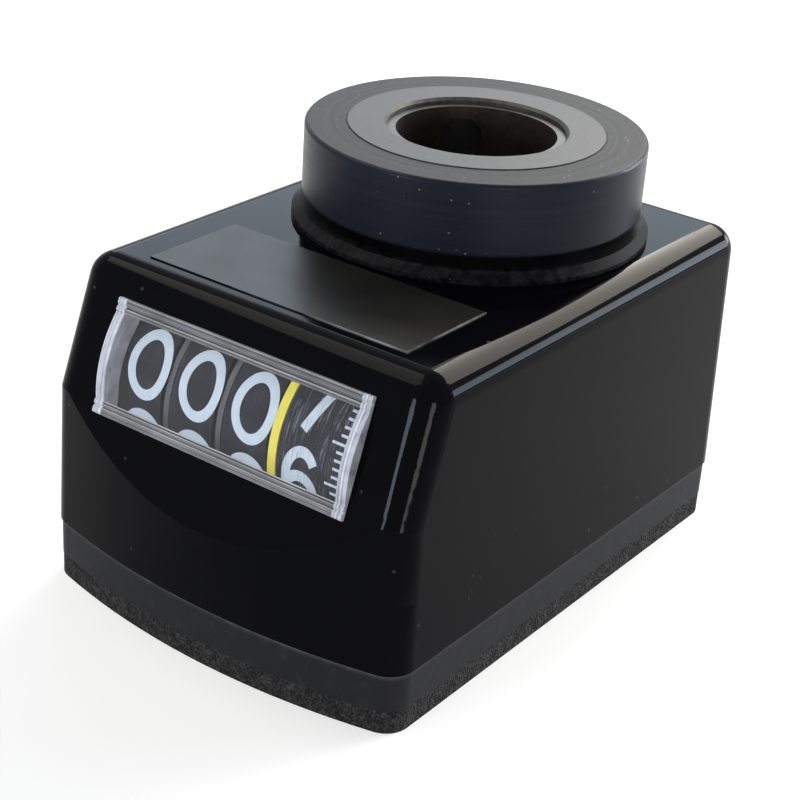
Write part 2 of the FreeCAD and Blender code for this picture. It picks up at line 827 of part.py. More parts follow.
def makeHubRing():
    body = shaftBody("hub_ring")
    top = hubTop - cell.hubStep
    outline(newSketch(body, "Profile", "XZ_Plane"),
            [(headRadius, headUnderside), (hubRadius, headUnderside),
             (hubRadius, top), (headRadius, top)])
    ring = revolve(body, body.Group[-1])
    radius = hubRadius.value

    def isOuterRim(edge):
        return abs(getattr(edge.Curve, "Radius", 0) - radius) < touching

    roundEdges(body, ring, cell.hubEdge, isOuterRim)
    screwHole(body, cell.setScrewRadius)
    return body


def makeSleeve():
    body = shaftBody("reducing_sleeve")
    inner = cell.boreRadius - cell.sleeveWall
    outline(newSketch(body, "Profile", "XZ_Plane"),
            [(inner, cell.shaftLift), (cell.boreRadius, cell.shaftLift),
             (cell.boreRadius, hubTop - cell.sleeveSunk), (inner, hubTop - cell.sleeveSunk)])
    revolve(body, body.Group[-1])
    screwHole(body, cell.setScrewRadius)
    return body


def makeSetScrew():
    body = shaftBody("set_screw")
    tip = cell.boreRadius - cell.sleeveWall + cell.setScrewTipSunk
    head = hubRadius - cell.setScrewHeadSunk
    radius = cell.setScrewRadius - cell.screwFit
    sketch = circle(newSketch(body, "Shank", "XZ_Plane", tip), zero, setScrewHeight, radius)
    pad(body, sketch, head - tip)
    corner = cell.socketRadius * root(asSize(3)) / 2
    half = cell.socketRadius / 2
    z = setScrewHeight
    socket = newSketch(body, "Socket", "XZ_Plane", head)
    outline(socket, [(cell.socketRadius, z), (half, z + corner), (-half, z + corner),
                     (-cell.socketRadius, z), (-half, z - corner), (half, z - corner)])
    pocket(body, socket, cell.socketDepth)
    return body


def makeBush(label, bottom, seat, reach, flange):
    """A plain bearing with a flange above its seat."""
    body = shaftBody(label, False)
    outline(newSketch(body, "Profile", "XZ_Plane"),
            [(bushBore, bottom), (bushRadius, bottom), (bushRadius, seat),
             (bushRadius + reach, seat), (bushRadius + reach, seat + flange),
             (bushBore, seat + flange)])
    revolve(body, body.Group[-1])
    return body


def makeSeal():
    body = shaftBody("shaft_seal", False)
    inner = tubeRadius + cell.sealFit
    bottom = cell.foamThickness
    middle = bottom + cell.sealSection
    outline(newSketch(body, "Section", "XZ_Plane"),
            [(inner, middle - cell.sealLip), (bushRadius - cell.sealFit, bottom),
             (bushRadius - cell.sealFit, bottom + 2 * cell.sealSection),
             (inner, middle + cell.sealLip)])
    revolve(body, body.Group[-1])
    return body


def makeRetainingRing():
    """A flat spring ring with a gap in it, in the groove of the shaft under the neck."""
    body = shaftBody("retaining_ring")
    inner = tubeRadius - cell.ringDepth
    outer = inner + cell.ringWidth
    bottom = neckBottom - cell.ringGap - cell.ringThickness
    sketch = newSketch(body, "Ring", "XY_Plane", bottom)
    circle(sketch, zero, zero, outer)
    circle(sketch, zero, zero, inner)
    pad(body, sketch, cell.ringThickness)
    gap = newSketch(body, "Gap", "XY_Plane", bottom)
    rectangle(gap, -cell.ringOpening / 2, zero, cell.ringOpening / 2, outer + cell.overrun)
    pocket(body, gap, cell.ringThickness, flip=True)
    return body


# Drums. Each body's X axis is the axle; sketches hold the way along it and the radius.

ringToothShare = 0.56
ringTipShare = 0.7
carryPlaceShare = 1.6
carryDepthShare = 1.2
armStartShare = 0.6
pinionToothShare = 0.44
pinionFootShare = 1.0
tailToothShare = 0.5
tailPitchShare = 0.85
tailFootShare = 0.6


def drumBody(label):
    return newBody(label, y=drumY, z=drumZ)


def carryTeeth(body, left, inner, rim):
    """Two small blocks inside the left rim that would carry the next drum on."""
    sketch = newSketch(body, "CarryTeeth", "YZ_Plane", left)
    half = transferModule / 2
    for side in (-1, 1):
        v = carryPlaceShare * side * transferModule
        rectangle(sketch, inner - carryDepthShare * transferModule, v - half, inner + rim / 2, v + half)
    return pad(body, sketch, cell.transferTailLength)


def makeDrum(label, left, phase):
    """A number drum: a web between an internal gear on the right and two carry teeth on the left."""
    body = drumBody(label)
    right = left + cell.drumWidth
    inner = drumInside
    bore = cell.axleRadius + cell.runningFit
    hub = drumHubRadius
    webLeft = left + (cell.drumWidth - cell.drumWeb) / 2
    webRight = webLeft + cell.drumWeb
    outline(newSketch(body, "Profile", "XZ_Plane"),
            [(left, bore), (right, bore), (right, hub), (webRight, hub), (webRight, inner),
             (right, inner), (right, cell.drumRadius), (left, cell.drumRadius), (left, inner),
             (webLeft, inner), (webLeft, hub), (left, hub)])
    revolve(body, body.Group[-1], "H_Axis")

    gear = newSketch(body, "InternalGear", "YZ_Plane", right - cell.gearFace)
    circle(gear, zero, zero, inner + cell.drumRim / 2)
    module = transferModule.value
    teeth = int(cell.drumTeeth.value)
    pitch = module * teeth / 2
    space = toothPoints(teeth, pitch, pitch + ringDepthShare * module, pitch - ringTipShare * module,
                        ringToothShare, normalPressure, phase)
    polygon(gear, space)
    pad(body, gear, cell.gearFace)

    carryTeeth(body, left, inner, cell.drumRim)
    return body


def makeFineDrum():
    """The right-hand drum turns with the axle. It is open to the right, with a web on the left."""
    body = drumBody("fine_drum")
    inner = cell.drumRadius - cell.fineDrumRim
    hub = drumHubRadius
    webLeft = fineLeft + cell.transferTailLength + cell.drumGap
    webRight = webLeft + cell.drumWeb
    outline(newSketch(body, "Profile", "XZ_Plane"),
            [(fineLeft, cell.axleRadius), (fineRight, cell.axleRadius), (fineRight, hub),
             (webRight, hub), (webRight, inner), (fineRight, inner), (fineRight, cell.drumRadius),
             (fineLeft, cell.drumRadius), (fineLeft, inner), (webLeft, inner), (webLeft, hub),
             (fineLeft, hub)])
    revolve(body, body.Group[-1], "H_Axis")
    carryTeeth(body, fineLeft, inner, cell.fineDrumRim)
    return body


def makeCarrier(label, left, thickness, radius):
    """A plate between two drums: it sits on the axle and the anchor rod and carries a pinion."""
    body = drumBody(label)
    rodU = rodDistance * cosine(cell.rodAngle)
    rodV = rodDistance * sine(cell.rodAngle)
    disc = newSketch(body, "Disc", "YZ_Plane", left)
    pad(body, circle(disc, zero, zero, radius), thickness)
    eye = cell.rodRadius + cell.rodEyeWall
    arm = newSketch(body, "Arm", "YZ_Plane", left)
    sideU = eye * sine(cell.rodAngle)
    sideV = eye * cosine(cell.rodAngle)
    startU = rodU * armStartShare
    startV = rodV * armStartShare
    outline(arm, [(startU + sideU, startV - sideV), (rodU + sideU, rodV - sideV),
                  (rodU - sideU, rodV + sideV), (startU - sideU, startV + sideV)])
    pad(body, arm, thickness)
    pad(body, circle(newSketch(body, "Eye", "YZ_Plane", left), rodU, rodV, eye), thickness)
    holes = newSketch(body, "Holes", "YZ_Plane", left)
    circle(holes, zero, zero, cell.axleRadius + cell.runningFit)
    circle(holes, rodU, rodV, cell.rodRadius)
    circle(holes, transferY, transferZ, transferPitch + cell.runningFit)
    pocket(body, holes)
    return body


def makeTransferPinion(label, left, thickness, phase):
    """A pinion through a carrier plate: long teeth on its left, a smaller lobed tail on its right."""
    body = newBody(label, y=drumY + transferY, z=drumZ + transferZ)
    module = transferModule.value
    teeth = int(cell.transferTeeth.value)
    pitch = transferPitch.value
    gap = cell.drumGap
    wheel = newSketch(body, "Teeth", "YZ_Plane", left - gap - cell.gearFace)
    polygon(wheel, toothPoints(teeth, pitch, pitch + pinionTipShare * module,
                               pitch - pinionFootShare * module, pinionToothShare, normalPressure, phase))
    pad(body, wheel, cell.gearFace + gap - cell.runningFit)
    neck = circle(newSketch(body, "Neck", "YZ_Plane", left - cell.runningFit), zero, zero, transferPitch)
    pad(body, neck, thickness + cell.runningFit)
    tail = newSketch(body, "Tail", "YZ_Plane", left + thickness)
    tailRadius = (transferPitch - cell.transferTailStep).value
    polygon(tail, toothPoints(teeth, tailRadius * tailPitchShare, tailRadius, tailRadius * tailFootShare,
                              tailToothShare, normalPressure, phase))
    pad(body, tail, cell.transferTailLength)
    return body


def makeAxle(label, y, z, radius):
    """A turned rod with a groove for a clip near each end."""
    body = newBody(label, y=y, z=z)
    groove = radius - cell.clipDepth
    thick = cell.clipThickness
    outline(newSketch(body, "Profile", "XZ_Plane"),
            [(axleLeft, zero), (axleRight, zero), (axleRight, radius), (clipRight + thick, radius),
             (clipRight + thick, groove), (clipRight, groove), (clipRight, radius),
             (clipLeft + thick, radius), (clipLeft + thick, groove), (clipLeft, groove),
             (clipLeft, radius), (axleLeft, radius)])
    revolve(body, body.Group[-1], "H_Axis")
    return body


def makeClips(label, y, z, radius):
    """Two spring clips, one outside each end of an axle's gears and brackets."""
    body = newBody(label, y=y, z=z)
    inner = radius - cell.clipDepth
    for place in (clipLeft, clipRight):
        rings = newSketch(body, "Ring", "YZ_Plane", place)
        circle(rings, zero, zero, inner + cell.clipWidth)
        circle(rings, zero, zero, inner)
        pad(body, rings, cell.clipThickness)
    gap = newSketch(body, "Gaps", "YZ_Plane")
    rectangle(gap, -cell.clipOpening / 2, zero, cell.clipOpening / 2, inner + cell.clipWidth + cell.overrun)
    pocket(body, gap)
    return body


def makeSpurGear(label, y, z, left, teeth, radius, phase):
    body = newBody(label, y=y, z=z)
    count = int(teeth.value)
    module = spurModule.value
    pitch = module * count / 2
    wheel = newSketch(body, "Teeth", "YZ_Plane", left)
    polygon(wheel, toothPoints(count, pitch, pitch + module, pitch - spurFootShare * module,
                               spurToothShare, normalPressure, phase))
    circle(wheel, zero, zero, radius)
    pad(body, wheel, cell.spurFace)
    return body


# Brackets

def footScrews():
    x = halfTrain - cell.footWidth / 2
    front = drumY - cell.footWidth
    back = crossY
    return [(side * x, y) for side in (-1, 1) for y in (front, back)]


def makeBracket(label, side):
    """An upright plate for the axle, the cross shaft and the rod, on two feet turned inwards."""
    body = newBody(label)
    left = halfTrain if side > 0 else -halfTrain - cell.bracketThickness
    depth = cell.bracketFront
    upper = cell.windowStart
    lower = cell.windowStart + windowLength
    top = innerTop - cell.bracketTopGap
    frontTop = (slopeTopY - upper * slopeCosine + depth * slopeSine,
                caseTop - upper * slopeSine - depth * slopeCosine)
    frontLow = (slopeTopY - lower * slopeCosine + depth * slopeSine,
                caseTop - lower * slopeSine - depth * slopeCosine)
    eye = cell.rodRadius + cell.rodEyeWall
    plate = newSketch(body, "Plate", "YZ_Plane", left)
    outline(plate, [(frontLow[0] + cell.bracketFront, floorTop), (cell.bracketBack + crossY, floorTop),
                    (cell.bracketBack + crossY, crossZ + cell.bracketShoulder), (rodY + eye, rodZ),
                    (rodY, rodZ + eye), (drumY + cell.bracketShoulder, top), (frontTop[0] + eye, top),
                    frontTop, frontLow])
    pad(body, plate, cell.bracketThickness)
    feet = newSketch(body, "Feet", "XY_Plane", floorTop)
    for x, y in footScrews():
        if (x.value > 0) == (side > 0):
            half = cell.footWidth / 2
            rectangle(feet, x - half, y - half, x + half, y + half)
    pad(body, feet, cell.footThickness)
    holes = newSketch(body, "Holes", "YZ_Plane", left)
    circle(holes, drumY, drumZ, cell.axleRadius + cell.runningFit)
    circle(holes, crossY, crossZ, cell.crossRadius + cell.runningFit)
    circle(holes, rodY, rodZ, cell.rodRadius)
    pocket(body, holes, cell.bracketThickness, flip=True)
    taps = newSketch(body, "Taps", "XY_Plane", floorTop)
    for x, y in footScrews():
        if (x.value > 0) == (side > 0):
            circle(taps, x, y, cell.bracketScrewRadius)
    pocket(body, taps, cell.footThickness, flip=True)
    return body


def makeRod():
    body = newBody("anchor_rod", y=rodY, z=rodZ)
    reach = halfTrain + cell.bracketThickness + cell.shaftEnd
    sketch = circle(newSketch(body, "Section", "YZ_Plane"), zero, zero, cell.rodRadius)
    pad(body, sketch, 2 * reach, midplane=True)
    return body


makeCase()
makeLens()
makeLabelPlate()
makeBase()
makeFoam()
screwTop = partingHeight + cell.coverPostHeight - cell.wall
screwBottom = cell.foamThickness + cell.coverHeadDepth - cell.coverHeadHeight
makeScrews("cover_screws", coverPosts(), screwBottom, cell.coverScrewRadius, screwTop - screwBottom,
           cell.coverHeadRadius, cell.coverHeadHeight)
makeScrews("bracket_screws", footScrews(), cell.foamThickness, cell.bracketScrewRadius,
           cell.floorThickness + cell.footThickness, cell.bracketHeadRadius, cell.bracketHeadHeight)
makeHollowShaft()
makeHubRing()
makeSleeve()
makeSetScrew()
makeBush("upper_bush", neckBottom, collarTop, cell.bushFlange, cell.bushFlangeThickness)
baseBossTop = floorTop + cell.baseBossHeight
makeBush("lower_bush", cell.foamThickness + cell.sealSeat, baseBossTop, cell.lowerBushFlange,
         cell.lowerBushFlangeThickness)
makeSeal()
makeRetainingRing()

# drive gear and cross pinion, a tooth of one in a space of the other
transversePressure = math.atan(math.tan(normalPressure) / math.cos(math.radians(cell.helixAngle.value)))


def helicalPoints(teeth, phase):
    module = driveModule.value
    pitch = (driveModule * transverseShare * teeth / 2).value
    return toothPoints(int(teeth.value), pitch, pitch + addendumShare * module,
                       pitch - dedendumShare * module, helicalToothShare, transversePressure, phase)


helixTangent = math.tan(math.radians(cell.helixAngle.value))
driveSpanCount = 4
crossSpanCount = 12
driveTurn = -cell.driveFace.value * helixTangent / driveRadius.value
twistedGear("drive_gear", helicalPoints(cell.driveTeeth, -math.pi / 2), cell.driveFace, driveTurn,
            driveSpanCount, tubeRadius, (zero, shaftY, crossZ), Rotation())
crossTurn = -cell.crossFace.value * helixTangent / crossPitch.value
alongX = Rotation(Vector(0, 1, 0), Vector(0, 0, 1), Vector(1, 0, 0), "ZXY")
twistedGear("cross_pinion", helicalPoints(cell.crossTeeth, math.pi / cell.crossTeeth.value), cell.crossFace,
            crossTurn, crossSpanCount, cell.crossRadius, (zero, crossY, crossZ), alongX)

makeAxle("cross_shaft", crossY, crossZ, cell.crossRadius)
makeClips("cross_clips", crossY, crossZ, cell.crossRadius)
makeAxle("drum_axle", drumY, drumZ, cell.axleRadius)
makeClips("axle_clips", drumY, drumZ, cell.axleRadius)
spurLine = math.atan2(spurZ.value, -spurY.value)
makeSpurGear("cross_gear", crossY, crossZ, inputLeft, cell.crossGearTeeth, cell.crossRadius, spurLine)
makeSpurGear("input_gear", drumY, drumZ, inputLeft, cell.inputGearTeeth, cell.axleRadius,
             spurLine + math.pi + math.pi / cell.inputGearTeeth.value)

transferTurn = math.radians(cell.transferAngle.value)
for name, left in zip(("drum_hundreds", "drum_tens", "drum_units"), drumLeft):
    makeDrum(name, left, transferTurn)
for count, name in enumerate(("hundreds", "tens")):
    makeCarrier("carrier_" + name, carrierLeft[count], cell.carrierThickness,
                cell.drumRadius - cell.carrierInset)
makeCarrier("marker_plate", carrierLeft[2], cell.markerThickness, cell.drumRadius)
for count, name in enumerate(("hundreds", "tens", "units")):
    thickness = cell.markerThickness if count == 2 else cell.carrierThickness
    makeTransferPinion("transfer_pinion_" + name, carrierLeft[count], thickness, transferTurn)
makeFineDrum()
makeBracket("left_bracket", -1)
makeBracket("right_bracket", 1)
makeRod()

doc.recompute()
faults = []
for thing in doc.Objects:
    if "Invalid" in thing.State or "Error" in thing.State:
        faults.append("%s is %s" % (thing.Label, thing.State))
for part in subParts:
    if part.Shape.isNull() or not part.Shape.isValid() or not part.Shape.Solids:
        faults.append(part.Label + " has no valid solid")
if faults:
    raise RuntimeError("; ".join(faults))
for part in subParts:
    part.Shape.exportStep("parts/%s.step" % part.Label)
    print(part.Label, len(part.Shape.Solids), round(part.Shape.Volume, 2))
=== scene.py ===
import json
import math
import bmesh
import bpy
from mathutils import Matrix, Vector


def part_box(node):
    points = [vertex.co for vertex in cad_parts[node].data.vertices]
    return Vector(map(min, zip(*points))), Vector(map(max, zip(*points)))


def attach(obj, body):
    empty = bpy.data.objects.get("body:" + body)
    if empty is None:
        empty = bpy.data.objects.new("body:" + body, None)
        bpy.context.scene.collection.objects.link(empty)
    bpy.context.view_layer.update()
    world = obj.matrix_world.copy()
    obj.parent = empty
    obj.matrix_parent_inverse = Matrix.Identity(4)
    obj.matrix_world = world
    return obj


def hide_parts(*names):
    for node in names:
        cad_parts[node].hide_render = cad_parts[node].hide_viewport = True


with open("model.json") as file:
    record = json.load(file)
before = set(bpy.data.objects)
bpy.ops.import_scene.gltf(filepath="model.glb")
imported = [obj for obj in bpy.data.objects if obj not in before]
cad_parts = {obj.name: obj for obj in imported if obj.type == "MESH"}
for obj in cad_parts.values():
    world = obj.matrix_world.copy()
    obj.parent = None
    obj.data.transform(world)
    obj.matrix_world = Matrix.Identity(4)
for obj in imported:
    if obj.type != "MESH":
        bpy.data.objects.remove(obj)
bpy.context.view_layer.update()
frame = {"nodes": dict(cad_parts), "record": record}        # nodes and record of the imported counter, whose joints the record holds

mm = 0.001
nodes = frame["nodes"]
print("frame loaded,", len(nodes), "pieces")


def jointPlace(name):
    joints = frame["record"]["behaviour"]["joints"]
    return Vector([joint for joint in joints if joint["name"] == name][0]["pos_m"])


shaftPlace = jointPlace("shaft_spin")
drumPlace = jointPlace("fine_drum_spin")


# Camera and light. The camera stands where the photograph was taken from.

view = {
    "place": (109.85 * mm, -155.24 * mm, 112.53 * mm),
    "yaw": 35.235,
    "pitch": 26.34,
    "roll": 4.05,
    "lens": 84.19,
    "sensor": 36.0,
    "clipStart": 5 * mm,
}


def setCamera():
    yaw = math.radians(view["yaw"])
    pitch = math.radians(view["pitch"])
    roll = math.radians(view["roll"])
    back = Vector((math.sin(yaw) * math.cos(pitch), -math.cos(yaw) * math.cos(pitch), math.sin(pitch)))
    right = (-back).cross(Vector((0, 0, 1))).normalized()
    up = right.cross(-back)
    across = math.cos(roll) * right + math.sin(roll) * up
    upward = math.cos(roll) * up - math.sin(roll) * right
    data = bpy.data.cameras.new("camera")
    data.lens = view["lens"]
    data.sensor_width = view["sensor"]
    data.clip_start = view["clipStart"]
    camera = bpy.data.objects.new("camera", data)
    bpy.context.scene.collection.objects.link(camera)
    turn = Matrix((across, upward, back)).transposed()
    camera.matrix_world = Matrix.Translation(view["place"]) @ turn.to_4x4()
    bpy.context.scene.camera = camera


light = {
    "world": (0.30, 0.31, 0.33),       # what matt surfaces see of the room
    "distance": 0.85,
    "aim": (0.0, 0.0, 25 * mm),
    # name: compass angle and height angle, width and height in degrees, radiance, colour
    "boxes": {
        "leftBox": (129, 24, 34, 20, 3.0, (0.68, 0.84, 1.0)),
        "backBox": (86, 36, 50, 18, 15.0, (1.0, 0.94, 0.84)),
        "lowBox": (60, 9, 40, 14, 16.0, (0.78, 0.88, 1.0)),
        "topBox": (198, 58, 40, 22, 5.0, (1.0, 0.97, 0.82)),
        "blueStrip": (-103, 8, 9, 14, 34.0, (0.76, 0.84, 1.0)),
        "warmStrip": (-36, 3, 13, 14, 20.0, (1.0, 0.95, 0.90)),
    },
}


def backgroundRay(start):
    # 1 for a ray that shows the background: to the camera, in gloss or through glass
    path = start.tree.nodes.new("ShaderNodeLightPath")
    kinds = ("Camera", "Glossy", "Transmission")
    seen = [Wire(start.tree, path.outputs["Is %s Ray" % kind]) for kind in kinds]
    return seen[0].math("MAXIMUM", seen[1]).math("MAXIMUM", seen[2])


def setWorld():
    world = bpy.data.worlds.new("studio")
    bpy.context.scene.world = world
    world.use_nodes = True
    tree = world.node_tree
    tree.nodes.clear()
    start = Wire(tree)
    room = start.node("ShaderNodeBackground", {}, {"Color": (*light["world"], 1.0)})
    white = start.node("ShaderNodeBackground", {}, {"Color": (1.0, 1.0, 1.0, 1.0)})
    mixed = start.node("ShaderNodeMixShader", {}, {0: backgroundRay(start), 1: room, 2: white})
    start.node("ShaderNodeOutputWorld", {}, {"Surface": mixed}, None)
    bpy.context.scene.view_settings.view_transform = "Standard"


def setLights():
    aim = Vector(light["aim"])
    reach = light["distance"]
    for name, (compass, rise, width, height, radiance, tint) in light["boxes"].items():
        compass, rise = math.radians(compass), math.radians(rise)
        away = Vector((math.cos(rise) * math.cos(compass), math.cos(rise) * math.sin(compass),
                       math.sin(rise)))
        data = bpy.data.lights.new(name, "AREA")
        data.shape = "RECTANGLE"
        data.size = 2 * reach * math.tan(math.radians(width) / 2)
        data.size_y = 2 * reach * math.tan(math.radians(height) / 2)
        data.energy = radiance * math.pi * data.size * data.size_y
        data.color = tint
        lamp = bpy.data.objects.new(name, data)
        bpy.context.scene.collection.objects.link(lamp)
        lamp.location = aim + reach * away
        lamp.rotation_euler = (-away).to_track_quat("-Z", "Y").to_euler()


paper = {
    "colour": (0.55, 0.55, 0.555),
    "roughness": 0.9,
    "specular": 0.1,
    "glow": 0.53,             # lifts the lit floor to white where it is background
    "farGlow": 0.25,          # and more where the lamps reach it less
    "far": (0.25, 1.2),
    "radius": 12.0,
    "corners": 64,
}


def makeFloor():
    material, shader, start = newFinish("floorPaper", {"Base Color": (*paper["colour"], 1.0),
                                                       "Roughness": paper["roughness"],
                                                       "Specular IOR Level": paper["specular"],
                                                       "Emission Strength": 1.0})
    place = objectPlace(start)
    away = (axisOf(place, 0) ** 2 + axisOf(place, 1) ** 2) ** 0.5
    glow = paper["glow"] + away.between(*paper["far"]) * paper["farGlow"]
    connect(shader, "Emission Color", backgroundRay(start) * glow)
    work = bmesh.new()
    bmesh.ops.create_circle(work, cap_ends=True, radius=paper["radius"], segments=paper["corners"])
    newPiece("floor", work, [material])


# Nodes in a few words: a Wire is an output socket, and maths on it adds Math nodes.

class Wire:
    def __init__(self, tree, socket=None):
        self.tree = tree
        self.socket = socket

    def node(self, kind, settings=None, sockets=None, output=0):
        made = self.tree.nodes.new(kind)
        for name, value in (settings or {}).items():
            setattr(made, name, value)
        for name, value in (sockets or {}).items():
            if isinstance(value, Wire):
                self.tree.links.new(value.socket, made.inputs[name])
            else:
                made.inputs[name].default_value = value
        return made if output is None else Wire(self.tree, made.outputs[output])

    def math(self, operation, *others):
        sockets = dict(enumerate((self,) + others))
        return self.node("ShaderNodeMath", {"operation": operation}, sockets)

    def after(self, other, operation):
        # the number comes first, as in 1 - mask
        return self.node("ShaderNodeMath", {"operation": operation}, {0: other, 1: self})

    def __add__(self, other):
        return self.math("ADD", other)

    def __mul__(self, other):
        return self.math("MULTIPLY", other)

    def __sub__(self, other):
        return self.math("SUBTRACT", other)

    def __truediv__(self, other):
        return self.math("DIVIDE", other)

    def __pow__(self, other):
        return self.math("POWER", other)

    def __rsub__(self, other):
        return self.after(other, "SUBTRACT")

    def __rtruediv__(self, other):
        return self.after(other, "DIVIDE")

    def __rpow__(self, other):
        return self.after(other, "POWER")

    __radd__ = __add__
    __rmul__ = __mul__

    def between(self, low, high):
        return self.node("ShaderNodeMapRange", {"clamp": True},
                         {"Value": self, "From Min": low, "From Max": high})

    def mix(self, low, high):
        return self.node("ShaderNodeMix", {"data_type": "RGBA"},
                         {0: self, 6: colour(low), 7: colour(high)}, 2)


def colour(value):
    return value if isinstance(value, Wire) else (*value, 1.0)


def newFinish(name, settings):
    material = bpy.data.materials.new(name)
    material.use_nodes = True
    shader = material.node_tree.nodes["Principled BSDF"]
    for socket, value in settings.items():
        shader.inputs[socket].default_value = value
    return material, shader, Wire(material.node_tree)


def connect(shader, socket, wire):
    shader.id_data.links.new(wire.socket, shader.inputs[socket])


def objectPlace(start):
    return start.node("ShaderNodeTexCoord", output="Object")


def axisOf(place, axis):
    return place.node("ShaderNodeSeparateXYZ", {}, {"Vector": place}, axis)


def inUnits(place, size, stretch=(1.0, 1.0, 1.0)):
    # the place counted in steps of one size
    return place.node("ShaderNodeMapping", {}, {"Vector": place, "Scale": [each / size for each in stretch]})


def grain(place, size, detail=2.0, stretch=(1.0, 1.0, 1.0)):
    # even noise whose lumps are about one size across
    return place.node("ShaderNodeTexNoise", {}, {"Vector": inUnits(place, size, stretch), "Scale": 1.0,
                                                 "Detail": detail})


def lines(along, size, detail):
    # noise that changes only along one wire, as turned or drawn lines do
    return along.node("ShaderNodeTexNoise", {"noise_dimensions": "1D"},
                      {"W": along / size, "Scale": 1.0, "Detail": detail})


def cellsOf(place, size, output):
    return place.node("ShaderNodeTexVoronoi", {}, {"Vector": inUnits(place, size), "Scale": 1.0}, output)


fleckEdge = (0.05, 0.16)      # where a fleck fades, in sizes of its cell


def specks(place, size, share):
    # small round flecks of dust, one in some of the cells
    picked = axisOf(cellsOf(place, size, "Color"), 0).math("LESS_THAN", share)
    return picked * (1 - cellsOf(place, size, "Distance").between(*fleckEdge))


def bump(height, distance):
    return height.node("ShaderNodeBump", {}, {"Height": height, "Distance": distance, "Strength": 1.0})


def shaftRadius(place):
    # distance from the hollow shaft's axis
    x = axisOf(place, 0)
    y = axisOf(place, 1) - shaftPlace.y
    return (x * x + y * y) ** 0.5


# Finishes. A noise is given by its size, its detail and, where it is drawn out, its stretch.

caseLook = {
    "dark": (0.0014, 0.0015, 0.0026),
    "dust": (0.10, 0.10, 0.095),
    "ior": 1.11,              # low, so that the white room leaves its sides dark
    "roughness": 0.06,
    "smear": (9 * mm, 4.0),
    "smearFrom": (0.45, 0.85),
    "smearDust": 0.004,
    "smearRough": 0.07,
    "flecks": (1.6 * mm, 0.10),       # size of a cell, and share of the cells with a fleck
    "fleckDust": 0.4,
    "fleckRough": 0.4,
    "peel": (1.1 * mm, 1.0),
    "peelHeight": 0.6,
    "scratch": (0.5 * mm, 2.0, (1.0, 0.03, 0.03)),
    "scratchFrom": (0.62, 0.8),
    "scratchHeight": 0.2,
    "depth": 0.0025 * mm,
}

collarLook = {
    "below": (1.4 * mm, 1.2 * mm),    # under the top of the case, where the rubbed collar begins
    "rub": (0.9 * mm, 5.0),
    "rubFrom": (0.38, 0.75),
    "rubDust": 0.13,
    "rubRough": 0.2,
    "flecks": (0.7 * mm, 0.12),
    "fleckDust": 0.4,
    "rough": 0.34,
}


def casePlastic():
    look, ring = caseLook, collarLook
    material, shader, start = newFinish("casePlastic", {"IOR": look["ior"]})
    place = objectPlace(start)
    smear = grain(place, *look["smear"]).between(*look["smearFrom"])
    flecks = specks(place, *look["flecks"])
    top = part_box("case")[1].z
    collar = axisOf(place, 2).between(top - ring["below"][0], top - ring["below"][1])
    rubbed = grain(place, *ring["rub"]).between(*ring["rubFrom"])
    collarDust = rubbed * ring["rubDust"] + specks(place, *ring["flecks"]) * ring["fleckDust"]
    dust = flecks * look["fleckDust"] + smear * look["smearDust"] + collar * collarDust
    connect(shader, "Base Color", dust.mix(look["dark"], look["dust"]))
    rough = look["roughness"] + smear * look["smearRough"] + flecks * look["fleckRough"]
    connect(shader, "Roughness", rough + collar * (ring["rough"] + rubbed * ring["rubRough"]))
    scratch = grain(place, *look["scratch"]).between(*look["scratchFrom"])
    height = grain(place, *look["peel"]) * look["peelHeight"] + scratch * look["scratchHeight"]
    connect(shader, "Normal", bump(height, look["depth"]))
    return material


plateLook = {
    "dark": (0.006, 0.006, 0.006),
    "pale": (0.014, 0.0135, 0.013),
    "specular": 0.12,
    "cloud": (5 * mm, 3.0),
    "cloudShare": 0.7,
    "cloudRough": 0.14,
    "fine": (0.12 * mm, 2.0),
    "fineShare": 0.3,
    "roughness": 0.27,
    "depth": 0.012 * mm,
    "line": (0.20, 0.195, 0.185),     # painted highlight: a light line along its right and front edge, where light catches the edge
    "lineWidth": (0.144 * mm, 0.18 * mm),
    "lineStart": (-6 * mm, 8 * mm),   # X where the painted highlight fades in at the front
    # where the cloud breaks up the painted highlight
    "lineWorn": (0.3, 0.6),
}


def platePlastic():
    look = plateLook
    material, shader, start = newFinish("platePlastic", {"Specular IOR Level": look["specular"]})
    place = objectPlace(start)
    cloud = grain(place, *look["cloud"])
    fine = grain(place, *look["fine"])
    low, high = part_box("label_plate")
    # painted highlight along the right and front edges, broken up by the cloud
    full, wide = look["lineWidth"]
    right = axisOf(place, 0).between(high.x - wide, high.x - full)
    front = 1 - axisOf(place, 1).between(low.y + full, low.y + wide)
    front = front * axisOf(place, 0).between(*look["lineStart"])
    line = right.math("MAXIMUM", front) * cloud.between(*look["lineWorn"])
    base = (cloud * look["cloudShare"] + fine * look["fineShare"]).mix(look["dark"], look["pale"])
    connect(shader, "Base Color", line.mix(base, look["line"]))
    connect(shader, "Roughness", look["roughness"] + cloud * look["cloudRough"])
    connect(shader, "Normal", bump(fine, look["depth"]))
    return material


baseLook = {
    "dark": (0.008, 0.0083, 0.0098),
    "dust": (0.16, 0.155, 0.145),
    "specular": 0.12,
    "parting": 6.95 * mm,             # where the case meets it
    "dustyBelow": 0.9 * mm,
    "dustFall": 3,
    "worn": (1.8 * mm, 4.0),
    "wornTop": (0.3, 0.7),
    "wornTopDust": 0.6,
    "topDust": 0.35,
    "wornSide": (0.55, 0.85),
    "wornSideDust": 0.09,
    "roughness": 0.42,
    "wornRough": 0.2,
    "spark": (0.22 * mm, 3.0),
    "depth": 0.03 * mm,
}


